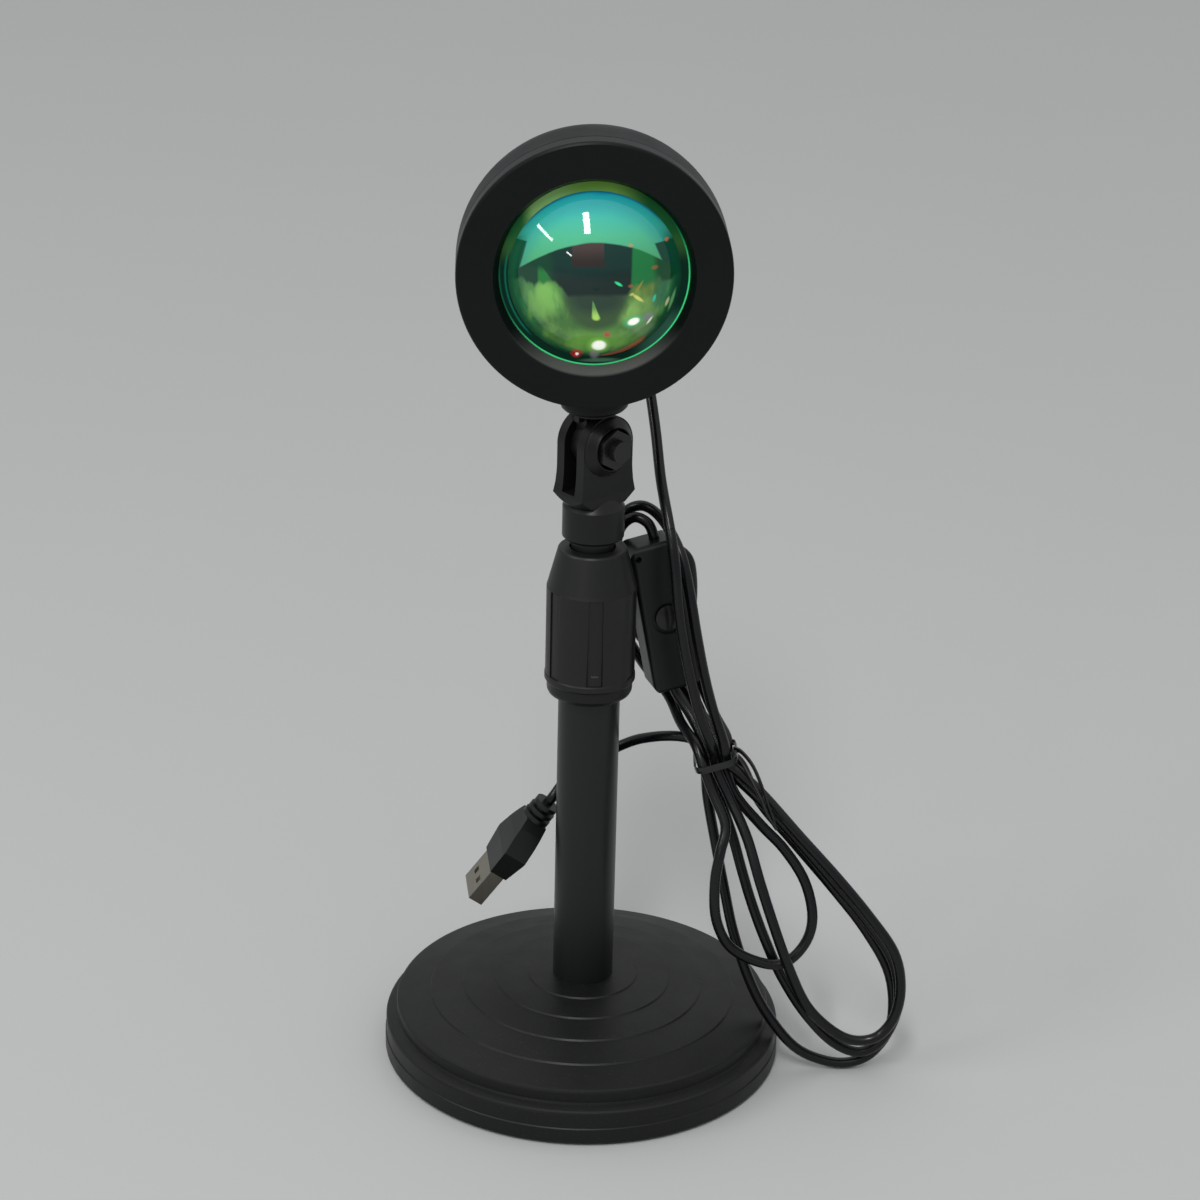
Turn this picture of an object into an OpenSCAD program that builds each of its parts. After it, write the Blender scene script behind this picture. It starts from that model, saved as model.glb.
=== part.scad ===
// Sunset projection lamp: domed weighted base, twist-lock telescopic pole,
// clevis joint and a swivelling drum head with a domed lens.
// Cord with an inline switch and a flat plug, tied up in a hank.
// Units mm, +Z up, front is -Y, origin under the middle of the base.

/* [Base] */
// Radius at the lower rim
base_r = 57.3; // [50:0.1:70]
// Width of the ledge between the lower rim and the upright wall
ledge_w = 3.3; // [2:0.1:6]
// Height of the ledge where the rim ends
ledge_z = 10.6; // [8:0.1:14]
// Height of the shoulder where the domed top starts
shoulder_z = 15.6; // [13:0.1:20]
// Rise of the domed top from the shoulder to the middle
dome_rise = 8.1; // [4:0.1:14]
// Thickness of the shell
shell_wall = 2; // [1.5:0.1:3]
// Radius of the innermost step of the domed top
terrace_r = 15.6; // [12:0.1:20]
// Distance from one step to the next
terrace_pitch = 9.45; // [7:0.05:10]
// Height of one step
terrace_step = 0.35; // [0.1:0.05:0.8]
// Space between the weight and the wall
weight_gap = 2; // [0.5:0.1:8]
// Thickness of the weight
weight_t = 7.5; // [5:0.1:7.5]
// Distance of the pad's edge from the lower rim
pad_inset = 4.5; // [2:0.1:10]

/* [Pole] */
// Radius of the outer tube
tube_r = 8.65; // [7:0.05:11]
// Wall of the outer tube
tube_wall = 1.2; // [0.8:0.1:2]
// Height of the top end of the outer tube
tube_top = 118; // [100:1:140]
// Radius of the inner tube
mast_r = 6; // [4.5:0.1:7]
// Wall of the inner tube
mast_wall = 1; // [0.6:0.1:1.5]
// Height of the inner tube's top end above the grip, pushed in
mast_out = 2.4; // [1:0.1:10]
// Radius of the ring under the twist grip
clutch_r = 12; // [10:0.1:14]
// Height of the underside of that ring
clutch_z = 112; // [100:0.1:114]

/* [Twist grip] */
// Radius over the panels
grip_r = 12.5; // [11.5:0.1:14]
// Height of the grip
grip_h = 39.2; // [36:0.1:44]
// Radius of the top rim
grip_top_r = 9.4; // [8.5:0.1:11]
// Number of panels
panels = 6; // [4:1:8]
// Width of the strips between the panels
strip_w = 4; // [2:0.1:6]
// Depth of the strips
strip_depth = 0.35; // [0.2:0.05:0.6]
// Turn of the front strip from the front, toward the right
strip_turn = 6.6; // [0:0.1:60]

/* [Clevis joint] */
// Height of the pivot above the inner tube's top end
pivot_up = 27.9; // [25:0.1:34]
// Turn of the pivot bolt from the right, toward the viewer
bolt_turn = 49; // [0:1:90]
// Radius of the neck
neck_r = 8.55; // [7:0.05:10]
// Width of the ears
ear_w = 17.35; // [14:0.05:20]
// Thickness over both ears
fork_t = 11.2; // [9:0.1:14]
// Width of the slot
slot_w = 5.2; // [4:0.1:7]
// Thickness of the tongue in the slot
tongue_t = 4.4; // [3:0.1:6]
// Radius of the pivot bolt
bolt_r = 2.95; // [2:0.05:4]
// Radius of the round boss on the nut side
boss_r = 6.5; // [6.2:0.05:8]
// Lean of the head about the pivot bolt
head_lean = 2.75; // [-5:0.05:10]

/* [Head] */
// Radius of the drum
head_r = 36; // [30:0.1:45]
// Depth of the drum
head_d = 37.9; // [32:0.1:46]
// Depth of the front ring
bezel_d = 5.5; // [4:0.1:8]
// Radius of the rounded rear edge
head_round = 23.8; // [10:0.1:24]
// Wall of the drum
head_wall = 2.2; // [1.6:0.1:3]
// Height of the middle of the drum above the pivot
head_up = 52.85; // [48:0.05:60]
// Distance of the front ring ahead of the stub
head_front = 20.4; // [15:0.1:25]
// Turn of the head on its stub
head_yaw = 2.5; // [-20:0.5:20]
// Radius of the swivel stub
stub_r = 4; // [3:0.1:5]
// Radius of the collar under the drum
collar_r = 9.3; // [8.6:0.1:11]

/* [Lens] */
// Radius of the opening in the front ring
aperture_r = 26.3; // [22:0.1:30]
// Radius of the lip that holds the lens
lip_r = 24.8; // [20:0.1:28]
// Radius of the foot of the dome
lens_r = 22.4; // [18:0.1:25]
// Height of the dome above its flange
lens_h = 11.2; // [6:0.1:14]

/* [Switch] */
// Width of the switch
switch_w = 14; // [12:0.5:18]
// Thickness of the switch
switch_t = 11; // [9:0.5:14]
// Length of the switch
switch_l = 44.6; // [38:0.2:55]
// Radius of the push button
button_r = 3.7; // [3:0.1:5]
// Travel of the push button
button_travel = 0.8; // [0.4:0.1:1.2]

/* [Cord] */
// Diameter of the cord
cord_d = 3; // [2.5:0.1:4]

/* [Hidden] */
// parts that turn or slide on each other, radius
fit = 0.05;
// parts beside each other in one place
gap = 0.3;
smooth = 96;
fine = 48;
cord_r = cord_d / 2;
base_wall_r = base_r - ledge_w;
weight_r = base_wall_r - shell_wall - weight_gap;
pad_r = base_r - pad_inset;
plate_z = 1.2;
weight_z = 2.6;
weight_top = weight_z + weight_t;
lip_t = 2;
tube_z = weight_top + lip_t;
grip_z = clutch_z + 4.8;
grip_top = grip_z + grip_h;
panel_top = grip_z + 27.6;
jaw_z = grip_z + 20.2;
jaw_top = grip_z + 32.2;
mast_top = grip_top + mast_out;
pivot_z = mast_top + pivot_up;
rear_z = head_d - head_wall;
// lens, seal and filter lie on each other behind the lip
lens_z = 3.2;
seal_z = lens_z + 2.2;
filter_z = seal_z + 2;
barrel_z = filter_z + 0.8;
seat_r = lip_r + 0.8;
// the lamp's board and its heat sink keep their place before the rear wall
board_z = rear_z - 13.7;
sink_z = board_z + 1.6;
post_z = sink_z + 2.4;
skirt_r = head_r - head_wall;
skirt_z = 10;
ear_r = ear_w / 2 + 0.025;
collar_z = ear_r + 0.9;
seat_z = collar_z - gap;
bx = cos(bolt_turn);
by = -sin(bolt_turn);
function dome_z(r) = shoulder_z + dome_rise * (1 - pow(r / (base_wall_r - 0.8), 2));
switch_spin = 17;
switch_at = [19.6, 11.5, 132.1];
button_x = 0.6;
boss_z = 16;
tie_at = [36.25, 2.4, 92];
plug_at = [-11.2, 12, 71.4];
lens_ball = (lens_r * lens_r + lens_h * lens_h) / (2 * lens_h);

// cord from the head: gland, behind the head, down past the clevis to the tie
LEAD_UPPER = [[-3, 23.8, 239.85], [-3.2, 28.5, 240.05], [-2.6, 36, 236], [0.5, 40.5, 227.5],
  [4.5, 40.8, 219], [8, 39.5, 211]];
LEAD_MIDDLE = [[8, 39.5, 211], [11.2, 36.6, 202.5], [14.3, 31.5, 193.5],
  [16.6, 22.5, 182.5], [18.4, 12, 171.3], [21.1, 2, 160.4]];
LEAD_LOWER = [[21.1, 2, 160.4], [22.8, -1.5, 151], [24, -3, 140], [25.8, -3.5, 129],
  [28.5, -3.8, 117], [31.3, -4, 107], [34, -3.2, 99.5], [35.4, -1.6, 95], [36, -1.5, 92]];
// one row per place round the big loop: front turn, middle turn, back turn
LOBE = [[[36, -1.5, 92], [34.3, 2, 92], [32.9, 5.6, 90]],
  [[36.8, -1.8, 89], [35.2, 1.6, 88], [33.6, 5.3, 87]],
  [[40.5, -4.5, 82], [38, 0, 79.5], [34.5, 5, 78]],
  [[45.5, -9.5, 72.5], [41.7, -3.5, 70], [37, 1.5, 66]],
  [[49.5, -14.5, 61], [44.5, -6, 61], [40, -3, 53]],
  [[54, -18, 48.5], [47.5, -8.5, 52], [43, -7, 41]],
  [[58.5, -19, 36.5], [51.5, -11, 42], [48, -10.5, 27.5]],
  [[64, -18.7, 24.5], [57, -12.3, 30], [53.5, -12.5, 17.5]],
  [[71, -18, 16.5], [64.5, -13.8, 18.5], [61.5, -13, 7.5]],
  [[78, -17.5, 12.5], [73, -14, 9.5], [70, -12.5, 2.8]],
  [[85, -17, 13.5], [81, -13.7, 6.5], [78, -12, 1.9]],
  [[89.7, -16.5, 20], [87.5, -13, 11], [85, -10.5, 5]],
  [[91, -15.8, 29.5], [91, -12, 21.5], [89.8, -9, 14]],
  [[88.5, -15, 40], [89, -11, 34.5], [88.5, -7.5, 28.5]],
  [[81, -13.5, 50.5], [81, -9.5, 46.5], [81, -6, 42]],
  [[71.5, -11.5, 61.5], [71, -7.5, 58], [70.5, -4, 55]],
  [[60.5, -9, 73], [60, -5, 70], [59.5, -1, 67]],
  [[50.5, -5, 83], [50, -1.2, 79.5], [49.5, 3.2, 77.5]],
  [[43.5, -2.5, 89], [41.8, 3.1, 85.8], [44, 8, 86.8]]];
function turn(k) = [for (row = LOBE) row[k]];
// high arch over the switch, then down behind it
ARCH_FRONT = [[39.6, -1.5, 92], [38.3, -1.2, 97.5], [34.7, -0.4, 108], [31.8, -0.3, 119],
  [29.3, 0, 131], [27.2, 1, 142], [24.6, 4.2, 151.8], [21, 9.4, 157.8], [17.2, 13.4, 161.2],
  [13.2, 15.3, 162.4], [9.2, 16.8, 160.2], [6.3, 18.8, 154.5], [4.9, 21, 146],
  [5.5, 23.5, 133], [9.5, 24, 121], [15.5, 21.5, 111.5], [22.5, 16.5, 104.5], [26.2, 9.4, 99.2],
  [30.2, 2, 96]];
SMALL_LOOP = [[32.2, -1.7, 92], [35.4, -4.7, 84.5], [39.3, -9, 76], [38, -12.5, 69],
  [36.8, -14, 60.5], [37.5, -15, 49.5], [41.5, -15.3, 41], [49, -15.5, 36.5],
  [57, -15, 35.5], [63, -13.5, 41], [65, -12, 49], [62.5, -9.5, 59], [56.5, -6.5, 67.5],
  [49.5, -4, 74], [42, -1, 82], [37.8, 2, 92]];
ARCH_SWITCH = [[35.5, 5.8, 98], [30, 12.5, 103.5], [24.5, 18.8, 108.5], [17, 19.5, 117.5],
  [9.5, 18.7, 129], [6.8, 17, 142], [6.7, 15.5, 151.5], [8.2, 14.1, 157],
  [11.5, 12.9, 159.8], [15, 12, 158.6], [16.7, 11.7, 155.4], [17.3, 11.7, 152.4]];
SWITCH_TAIL = [[23.5, 11.8, 112], [24.3, 11.9, 108], [28.6, 9, 102.2], [32, 4.6, 97.4]];
ARCH_BACK = [[36, 5.5, 92], [35, 9.5, 95], [31.5, 17, 100.5], [27, 22.5, 108],
  [22, 24.5, 117], [17.9, 24.3, 129], [16.9, 23.6, 138], [18.4, 23.4, 143.6],
  [22.7, 23.5, 146.6], [27, 24, 143.6], [28.5, 25, 136], [28.7, 26, 126], [29.5, 26, 115],
  [32, 22.5, 106], [36, 14.5, 99.5], [39.3, 8.5, 95.5], [40, 6, 92]];
PLUG_LEAD = [[32.9, 5.6, 90], [32, 6.3, 93], [29.5, 7.8, 94.7], [26, 9, 94.9],
  [22.5, 10.4, 94.3],
  [18.5, 12.3, 93], [13.5, 15.2, 90.5], [8, 16.8, 87.2], [2.5, 16.6, 84],
  [-2.8, 15.2, 80.9], [-7, 13.4, 77], [-9.4, 12.1, 73.9], plug_at];
TIE_TAIL = [[42.4, 2, 94.1], [44.6, -1.5, 94.6], [47.2, -5, 91.2], [49.8, -8.4, 86.2],
  [53.4, -10.8, 79.2]];
function backward(P) = [for (i = [len(P) - 1:-1:0]) P[i]];
function rest(P) = [for (i = [1:len(P) - 1]) P[i]];
// head to switch, and switch to plug
FIRST_CORD = concat(LEAD_UPPER, rest(LEAD_MIDDLE), rest(LEAD_LOWER), rest(turn(0)),
  ARCH_FRONT, SMALL_LOOP, ARCH_SWITCH);
SECOND_CORD = concat(SWITCH_TAIL, turn(1), ARCH_BACK, backward(turn(2)), rest(PLUG_LEAD));
// steps between two points, and the steps at which one piece of cord meets the next
steps = 2;
upper_end = steps * (len(LEAD_UPPER) - 1);
middle_end = upper_end + steps * (len(LEAD_MIDDLE) - 1);
lower_end = middle_end + steps * (len(LEAD_LOWER) - 1);
tail_end = steps * (len(SECOND_CORD) - len(PLUG_LEAD));
// smooth route through the points, n steps between two of them
function between(P, i, t) = let(
    b = P[i], c = P[i + 1],
    a = i > 0 ? P[i - 1] : 2 * b - c,
    d = i + 2 < len(P) ? P[i + 2] : 2 * c - b)
  b + (c - a) * t / 2 + (2 * a - 5 * b + 4 * c - d) * t * t / 2
    + (3 * b - a - 3 * c + d) * t * t * t / 2;
function route(P, n) = [for (i = [0:n * (len(P) - 1)])
  i < n * (len(P) - 1) ? between(P, floor(i / n), (i % n) / n) : P[len(P) - 1]];
function unit(v) = v / norm(v);
function along(P, i) = unit(P[min(i + 1, len(P) - 1)] - P[max(i - 1, 0)]);
function square_to(u, t) = unit(u - (u * t) * t);
function side_vectors(P) = [for (
  i = 0, u = square_to([0.3, 1, 0.2], along(P, 0)); i < len(P);
  i = i + 1, u = i < len(P) ? square_to(u, along(P, i)) : u) u];
// least distance between places of one cord that lie over a bend apart along it
function least_gap(P, skip) = min([for (i = [0:len(P) - skip - 1])
  min([for (j = [i + skip:len(P) - 1]) norm(P[i] - P[j])])]) - cord_d;

// ---------- helpers ----------
// flat ring
module ring(r, bore, z0, z1) {
  translate([0, 0, z0]) difference() {
    cylinder(r = r, h = z1 - z0, $fn = smooth);
    translate([0, 0, -1]) cylinder(r = bore, h = z1 - z0 + 2, $fn = smooth);
  }
}
// half of a drum section with a rounded rear edge, radius along x, depth along y
module bowl_half(r, round_r, d0, d1) {
  flat = d1 - round_r;
  translate([0, d0]) square([r, flat - d0]);
  translate([0, flat]) square([r - round_r, round_r]);
  intersection() {
    translate([r - round_r, flat]) circle(r = round_r, $fn = smooth);
    translate([0, flat]) square([r, round_r]);
  }
}
// rectangle with round corners
module soft_rect(w, h, r) {
  square([w - 2 * r, h], center = true);
  square([w, h - 2 * r], center = true);
  for (x = [-1, 1]) for (y = [-1, 1])
    translate([x * (w / 2 - r), y * (h / 2 - r)]) circle(r = r, $fn = fine);
}
// block with round edges: w along x, t along y, l along z
module soft_block(w, t, l, r, end_r) {
  intersection() {
    translate([0, 0, -l]) linear_extrude(2 * l) soft_rect(w, t, r);
    rotate([90, 0, 0]) translate([0, 0, -t]) linear_extrude(2 * t)
      soft_rect(w, l, end_r);
    rotate([90, 0, 90]) translate([0, 0, -w]) linear_extrude(2 * w)
      soft_rect(t, l, r);
  }
}
// round tube along a route, from one step of it to another
module tube(P, r, n, first, last) {
  U = side_vectors(P);
  rings = last - first;
  points = [for (i = [first:last]) let(v = cross(along(P, i), U[i])) for (k = [0:n - 1])
    P[i] + r * (cos(360 * k / n) * U[i] + sin(360 * k / n) * v)];
  skin = [for (i = [0:rings - 1]) for (k = [0:n - 1]) for (half = [0, 1])
    let(a = i * n + k, b = i * n + (k + 1) % n)
      half == 0 ? [a, a + n, b + n] : [a, b + n, b]];
  ends = [[for (k = [0:n - 1]) k], [for (k = [n - 1:-1:0]) rings * n + k]];
  polyhedron(points, concat(skin, ends), convexity = 20);
}
// x along the pivot bolt, y across the ears
module on_pivot() {
  translate([0, 0, pivot_z]) rotate([0, 0, -bolt_turn]) children();
}
// the stub's own upright frame, leaned with the head
module on_stub() {
  translate([0, 0, pivot_z]) rotate(a = head_lean, v = [bx, by, 0]) children();
}
// z runs from the front ring rearward, y runs down
module on_head() {
  on_stub() rotate([0, 0, head_yaw]) translate([0, -head_front, head_up])
    rotate([-90, 0, 0]) children();
}
// x along the switch's width, y inward from its face, z along its length
module on_switch() {
  translate(switch_at) rotate([0, 0, switch_spin]) rotate([-2.3, -10.8, 0])
    children();
}
// z back along the cord, x across the plug's width
module on_plug() {
  translate(plug_at) rotate([-36, 5.5, -82.3]) children();
}

// ---------- base ----------
module base_shell() {
  top = [for (k = [3:-1:0]) for (s = [0, 1])
    let (r = terrace_r + terrace_pitch * k + (1 - s) * 0.4)
      [r, dome_z(r) + (s - 0.5) * terrace_step]];
  color([0.15, 0.15, 0.15]) difference() {
    union() {
      rotate_extrude($fn = smooth) polygon(concat(
        [[0, 0.5], [base_r - 0.5, 0.5], [base_r, 1], [base_r, 5.2],
         [base_r - 0.25, 5.5], [base_r - 0.25, ledge_z - 0.9],
         [base_r - 0.45, ledge_z - 0.35], [base_r - 1, ledge_z],
         [base_wall_r + 0.3, ledge_z + 0.7], [base_wall_r, ledge_z + 1.4],
         [base_wall_r, shoulder_z - 0.8], [base_wall_r - 0.2, shoulder_z - 0.3],
         [base_wall_r - 0.8, shoulder_z]],
        top, [[8, dome_z(8)], [0, dome_z(8)]]));
    }
    difference() {
      rotate_extrude($fn = smooth) polygon([[0, 0], [base_r - shell_wall, 0],
        [base_r - shell_wall, ledge_z - 1.6], [base_wall_r - shell_wall, ledge_z - 0.6],
        [base_wall_r - shell_wall, shoulder_z - shell_wall],
        [44, dome_z(44) - shell_wall - 0.3], [34, dome_z(34) - shell_wall - 0.3],
        [25, dome_z(25) - shell_wall - 0.3], [15, dome_z(15) - shell_wall - 0.3],
        [0, dome_z(8) - shell_wall]]);
      translate([0, 0, weight_top]) cylinder(r = 11, h = 20, $fn = smooth);
    }
    translate([0, 0, tube_z]) cylinder(r = tube_r, h = 20, $fn = smooth);
    cylinder(r = bolt_r + 0.25, h = 20, $fn = fine);
  }
}
module base_weight() {
  color([0.4, 0.4, 0.42]) difference() {
    translate([0, 0, weight_z]) cylinder(r = weight_r, h = weight_t, $fn = smooth);
    cylinder(r = bolt_r + 0.25, h = 20, $fn = fine);
    translate([0, 0, weight_z - 1]) cylinder(r = 9.5, h = 5.4, $fn = fine);
  }
}
module base_plate() {
  color([0.2, 0.2, 0.2]) ring(base_r - shell_wall - gap, 11, plate_z, weight_z);
}
module base_pad() {
  color([0.08, 0.08, 0.08]) ring(pad_r, 11, 0, plate_z);
}
module base_bolt() {
  color([0.7, 0.7, 0.7]) {
    translate([0, 0, 2.2]) cylinder(r = 5.77, h = 3.6, $fn = 6);
    translate([0, 0, 5.8]) cylinder(r = bolt_r, h = 18, $fn = fine);
  }
}
module bolt_washer() {
  color([0.75, 0.75, 0.75]) ring(9, bolt_r + 0.25, 5.8, 7);
}
module tube_plug() {
  color([0.6, 0.6, 0.6]) ring(tube_r - tube_wall - 0.02, bolt_r + fit, tube_z, 26);
}

// ---------- pole ----------
module outer_tube() {
  color([0.14, 0.15, 0.15]) ring(tube_r, tube_r - tube_wall, tube_z, tube_top);
}
module clutch_body() {
  color([0.16, 0.16, 0.16]) difference() {
    rotate_extrude($fn = smooth)
      polygon([[tube_r + 0.02, clutch_z], [clutch_r - 2.4, clutch_z],
        [clutch_r - 1.3, clutch_z + 0.35], [clutch_r - 0.45, clutch_z + 1],
        [clutch_r - 0.1, clutch_z + 1.7], [clutch_r, clutch_z + 2.3],
        [clutch_r, grip_z - gap], [10.3, grip_z - gap], [10.3, jaw_z], [9.6, jaw_z],
        [7.9, jaw_top], [mast_r + fit, jaw_top], [mast_r + fit, jaw_z],
        [mast_r + gap, jaw_z], [mast_r + gap, tube_top], [tube_r + 0.02, tube_top]]);
    for (i = [0, 1]) rotate([0, 0, 45 + 90 * i]) translate([-20, -0.6, jaw_z - 3])
      cube([40, 1.2, 30]);
  }
}
module twist_grip() {
  color([0.17, 0.17, 0.17]) difference() {
    rotate_extrude($fn = smooth) polygon([[10.38, grip_z], [grip_r, grip_z],
      [grip_r + 0.2, grip_z + 0.3], [grip_r + 0.2, grip_z + 1.7],
      [grip_r, grip_z + 2.1], [grip_r, panel_top], [grip_r - 0.25, panel_top + 0.8],
      [grip_top_r + 0.2, grip_top - 0.7], [grip_top_r - 0.1, grip_top - 0.2],
      [grip_top_r - 0.6, grip_top], [mast_r + 0.45, grip_top], [mast_r + 0.45, jaw_top + 1],
      [8.3, jaw_top + 1], [10.38, jaw_z + 1.5]]);
    for (i = [0:panels - 1]) rotate([0, 0, 270 + strip_turn + i * 360 / panels])
      intersection() {
        ring(grip_r + 2, grip_r - strip_depth, grip_z + 2.1, panel_top);
        translate([0, -strip_w / 2, 0]) cube([20, strip_w, 200]);
      }
  }
}
module inner_tube() {
  color([0.16, 0.16, 0.17]) ring(mast_r, mast_r - mast_wall, 27, mast_top);
}
module tube_bush() {
  color([0.85, 0.85, 0.82]) ring(tube_r - tube_wall - fit, mast_r, 27, 37);
}
module mast_stud() {
  color([0.65, 0.65, 0.65]) {
    translate([0, 0, mast_top - 12]) cylinder(r = mast_r - mast_wall, h = 12, $fn = fine);
    translate([0, 0, mast_top]) cylinder(r = stub_r, h = 10, $fn = fine);
  }
}

// ---------- clevis joint ----------
module clevis() {
  neck_z = mast_top + gap;
  color([0.15, 0.15, 0.15]) on_pivot() difference() {
    union() {
      translate([0, 0, neck_z - pivot_z]) rotate_extrude($fn = smooth)
        polygon([[0, 0], [neck_r - 0.8, 0], [neck_r, 0.8], [neck_r, 9.4],
          [fork_t / 2 + 0.3, 12.6], [0, 12.6]]);
      intersection() {
        translate([-20, 0, 0]) rotate([90, 0, 90]) linear_extrude(40) union() {
          circle(r = ear_r, $fn = smooth);
          polygon([[-7, -18], [7, -18], [9.45, -16], [9.45, -14], [9, -11.3],
            [8.75, -8.3], [ear_w / 2, -6.3], [ear_w / 2, 0], [-ear_w / 2, 0],
            [-ear_w / 2, -6.3], [-8.75, -8.3], [-9, -11.3], [-9.45, -14],
            [-9.45, -16]]);
        }
        translate([0, 20, 0]) rotate([90, 0, 0]) linear_extrude(40)
          polygon([[-6.15, -20], [6.15, -20], [6.15, -14], [5.8, -11],
            [fork_t / 2, -7], [fork_t / 2, 10], [-fork_t / 2, 10],
            [-fork_t / 2, -7], [-5.8, -11], [-6.15, -14]]);
        translate([0, 0, -16.8]) cylinder(r1 = neck_r - 0.1, r2 = 35, h = 26.5,
          $fn = smooth);
      }
      rotate([0, 90, 0]) rotate_extrude($fn = smooth)
        polygon([[0, 0], [ear_r - 0.3, 0], [ear_r - 0.3, fork_t / 2], [ear_r - 0.7, fork_t / 2 + 0.5],
          [boss_r, fork_t / 2 + 2], [boss_r - 0.3, fork_t / 2 + 2.4], [0, fork_t / 2 + 2.4]]);
    }
    translate([-slot_w / 2, -20, -13.1]) cube([slot_w, 40, 40]);
    translate([-20, 0, 0]) rotate([0, 90, 0]) cylinder(r = bolt_r + 0.1, h = 40, $fn = fine);
    translate([4.6, 0, 0]) rotate([0, 90, 0]) cylinder(r = 5.9, h = 10, $fn = fine);
    translate([0, 0, -40]) cylinder(r = stub_r + fit, h = 40 - 17.3, $fn = fine);
  }
}
module pivot_bolt() {
  color([0.25, 0.25, 0.25]) on_pivot() rotate([0, 90, 0]) difference() {
    union() {
      translate([0, 0, -fork_t / 2]) cylinder(r = bolt_r, h = fork_t + 5.6, $fn = fine);
      translate([0, 0, -fork_t / 2 - 2]) cylinder(r = 5, h = 2, $fn = fine);
      translate([0, 0, -fork_t / 2 - 3]) cylinder(r1 = 3.8, r2 = 5, h = 1, $fn = fine);
    }
    translate([0, 0, -fork_t / 2 - 4]) cylinder(r = 2.3, h = 2.8, $fn = 6);
  }
}
module pivot_nut() {
  color([0.3, 0.3, 0.3]) on_pivot() rotate([0, 90, 0]) translate([0, 0, 4.6])
    difference() {
      cylinder(r = 5.77, h = 4.5, $fn = 6);
      translate([0, 0, -1]) cylinder(r = bolt_r + fit, h = 7, $fn = fine);
    }
}
module friction_washers() {
  color([0.8, 0.75, 0.6]) on_pivot() rotate([0, 90, 0]) {
    ring(6.4, bolt_r + 0.1, tongue_t / 2 + fit, slot_w / 2);
    ring(6.4, bolt_r + 0.1, -slot_w / 2, -tongue_t / 2 - fit);
  }
}
module knuckle() {
  color([0.15, 0.15, 0.15]) on_stub() {
    difference() {
      rotate([0, 0, -bolt_turn]) {
        rotate([0, 90, 0]) translate([0, 0, -tongue_t / 2])
          cylinder(r = 6.6, h = tongue_t, $fn = smooth);
        translate([-tongue_t / 2, -4.8, 0]) cube([tongue_t, 9.6, seat_z - 0.1]);
        translate([-1, -6.4, seat_z - 2.1]) cube([2, 2.2, 2]);
      }
      rotate([0, 0, -bolt_turn]) rotate([0, 90, 0]) translate([0, 0, -10])
        cylinder(r = bolt_r + 0.1, h = 20, $fn = fine);
    }
    translate([0, 0, seat_z - 0.5]) cylinder(r = 6.4, h = 0.5, $fn = smooth);
    translate([0, 0, seat_z]) cylinder(r = stub_r, h = 24.5 - seat_z, $fn = fine);
  }
}
module stem_nut() {
  color([0.7, 0.7, 0.7]) on_stub() translate([0, 0, 20.3]) difference() {
    cylinder(r = 6.9, h = 3.2, $fn = 6);
    translate([0, 0, -1]) cylinder(r = stub_r, h = 6, $fn = fine);
  }
}

// ---------- head ----------
module head_cavity() {
  rotate_extrude($fn = smooth)
    bowl_half(skirt_r, head_round - head_wall, -1, rear_z);
}
module head_shell() {
  color([0.15, 0.15, 0.15]) difference() {
    union() {
      on_head() difference() {
        rotate_extrude($fn = smooth) bowl_half(head_r, head_round, bezel_d + gap, head_d);
        head_cavity();
      }
      on_stub() difference() {
        translate([0, 0, collar_z]) rotate_extrude($fn = smooth)
          polygon([[0, 0], [collar_r - 1.9, 0], [collar_r - 0.9, 0.4], [collar_r - 0.25, 1.1],
            [collar_r, 2.1], [collar_r, 15.6], [0, 15.6]]);
        rotate([0, 0, head_yaw]) translate([0, -head_front, head_up])
          rotate([-90, 0, 0]) head_cavity();
      }
      on_stub() translate([0, 0, 12]) cylinder(r = collar_r - 0.1, h = 8.2, $fn = smooth);
      on_head() for (i = [0:2]) rotate([0, 0, 30 + 120 * i]) translate([18, 0, post_z])
        cylinder(r = 3, h = rear_z - 0.5 - post_z, $fn = fine);
    }
    on_stub() {
      cylinder(r = stub_r + fit, h = 40, $fn = fine);
      translate([0, 0, 20.2]) cylinder(r = 7.4, h = 10, $fn = fine);
    }
    on_head() {
      translate([0, 0, rear_z - 5.7]) cylinder(r = 3.22, h = 20, $fn = fine);
      for (i = [0:2]) rotate([0, 0, 30 + 120 * i]) translate([18, 0, board_z - 2])
        cylinder(r = 1.3, h = 12, $fn = fine);
    }
  }
}
module front_bezel() {
  color([0.1, 0.1, 0.1]) on_head() rotate_extrude($fn = smooth) polygon([
    [aperture_r, 0], [head_r - 0.7, 0], [head_r - 0.2, 0.25], [head_r, 0.8],
    [head_r, bezel_d], [skirt_r, bezel_d], [skirt_r, skirt_z], [skirt_r - 2, skirt_z],
    [skirt_r - 2, lens_z + 0.2], [seat_r + 1.8, lens_z + 0.2], [seat_r + 1.8, skirt_z],
    [seat_r, skirt_z], [seat_r, lens_z], [lip_r, lens_z]]);
}
module lens() {
  color([0.3, 0.8, 0.7, 0.6]) on_head() {
    translate([0, 0, lens_z]) cylinder(r = seat_r - fit, h = seal_z - lens_z, $fn = smooth);
    intersection() {
      translate([0, 0, lens_z - lens_h + lens_ball]) sphere(r = lens_ball, $fn = smooth);
      translate([0, 0, -15]) cylinder(r = 30, h = 19, $fn = smooth);
    }
  }
}
module lens_seal() {
  color([0.1, 0.1, 0.1]) on_head() ring(seat_r, seat_r - 4.6, seal_z, filter_z);
}
module filter_disc() {
  color([0.8, 0.5, 0.3, 0.7]) on_head() translate([0, 0, filter_z])
    cylinder(r = seat_r - 0.6, h = barrel_z - filter_z, $fn = smooth);
}
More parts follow.
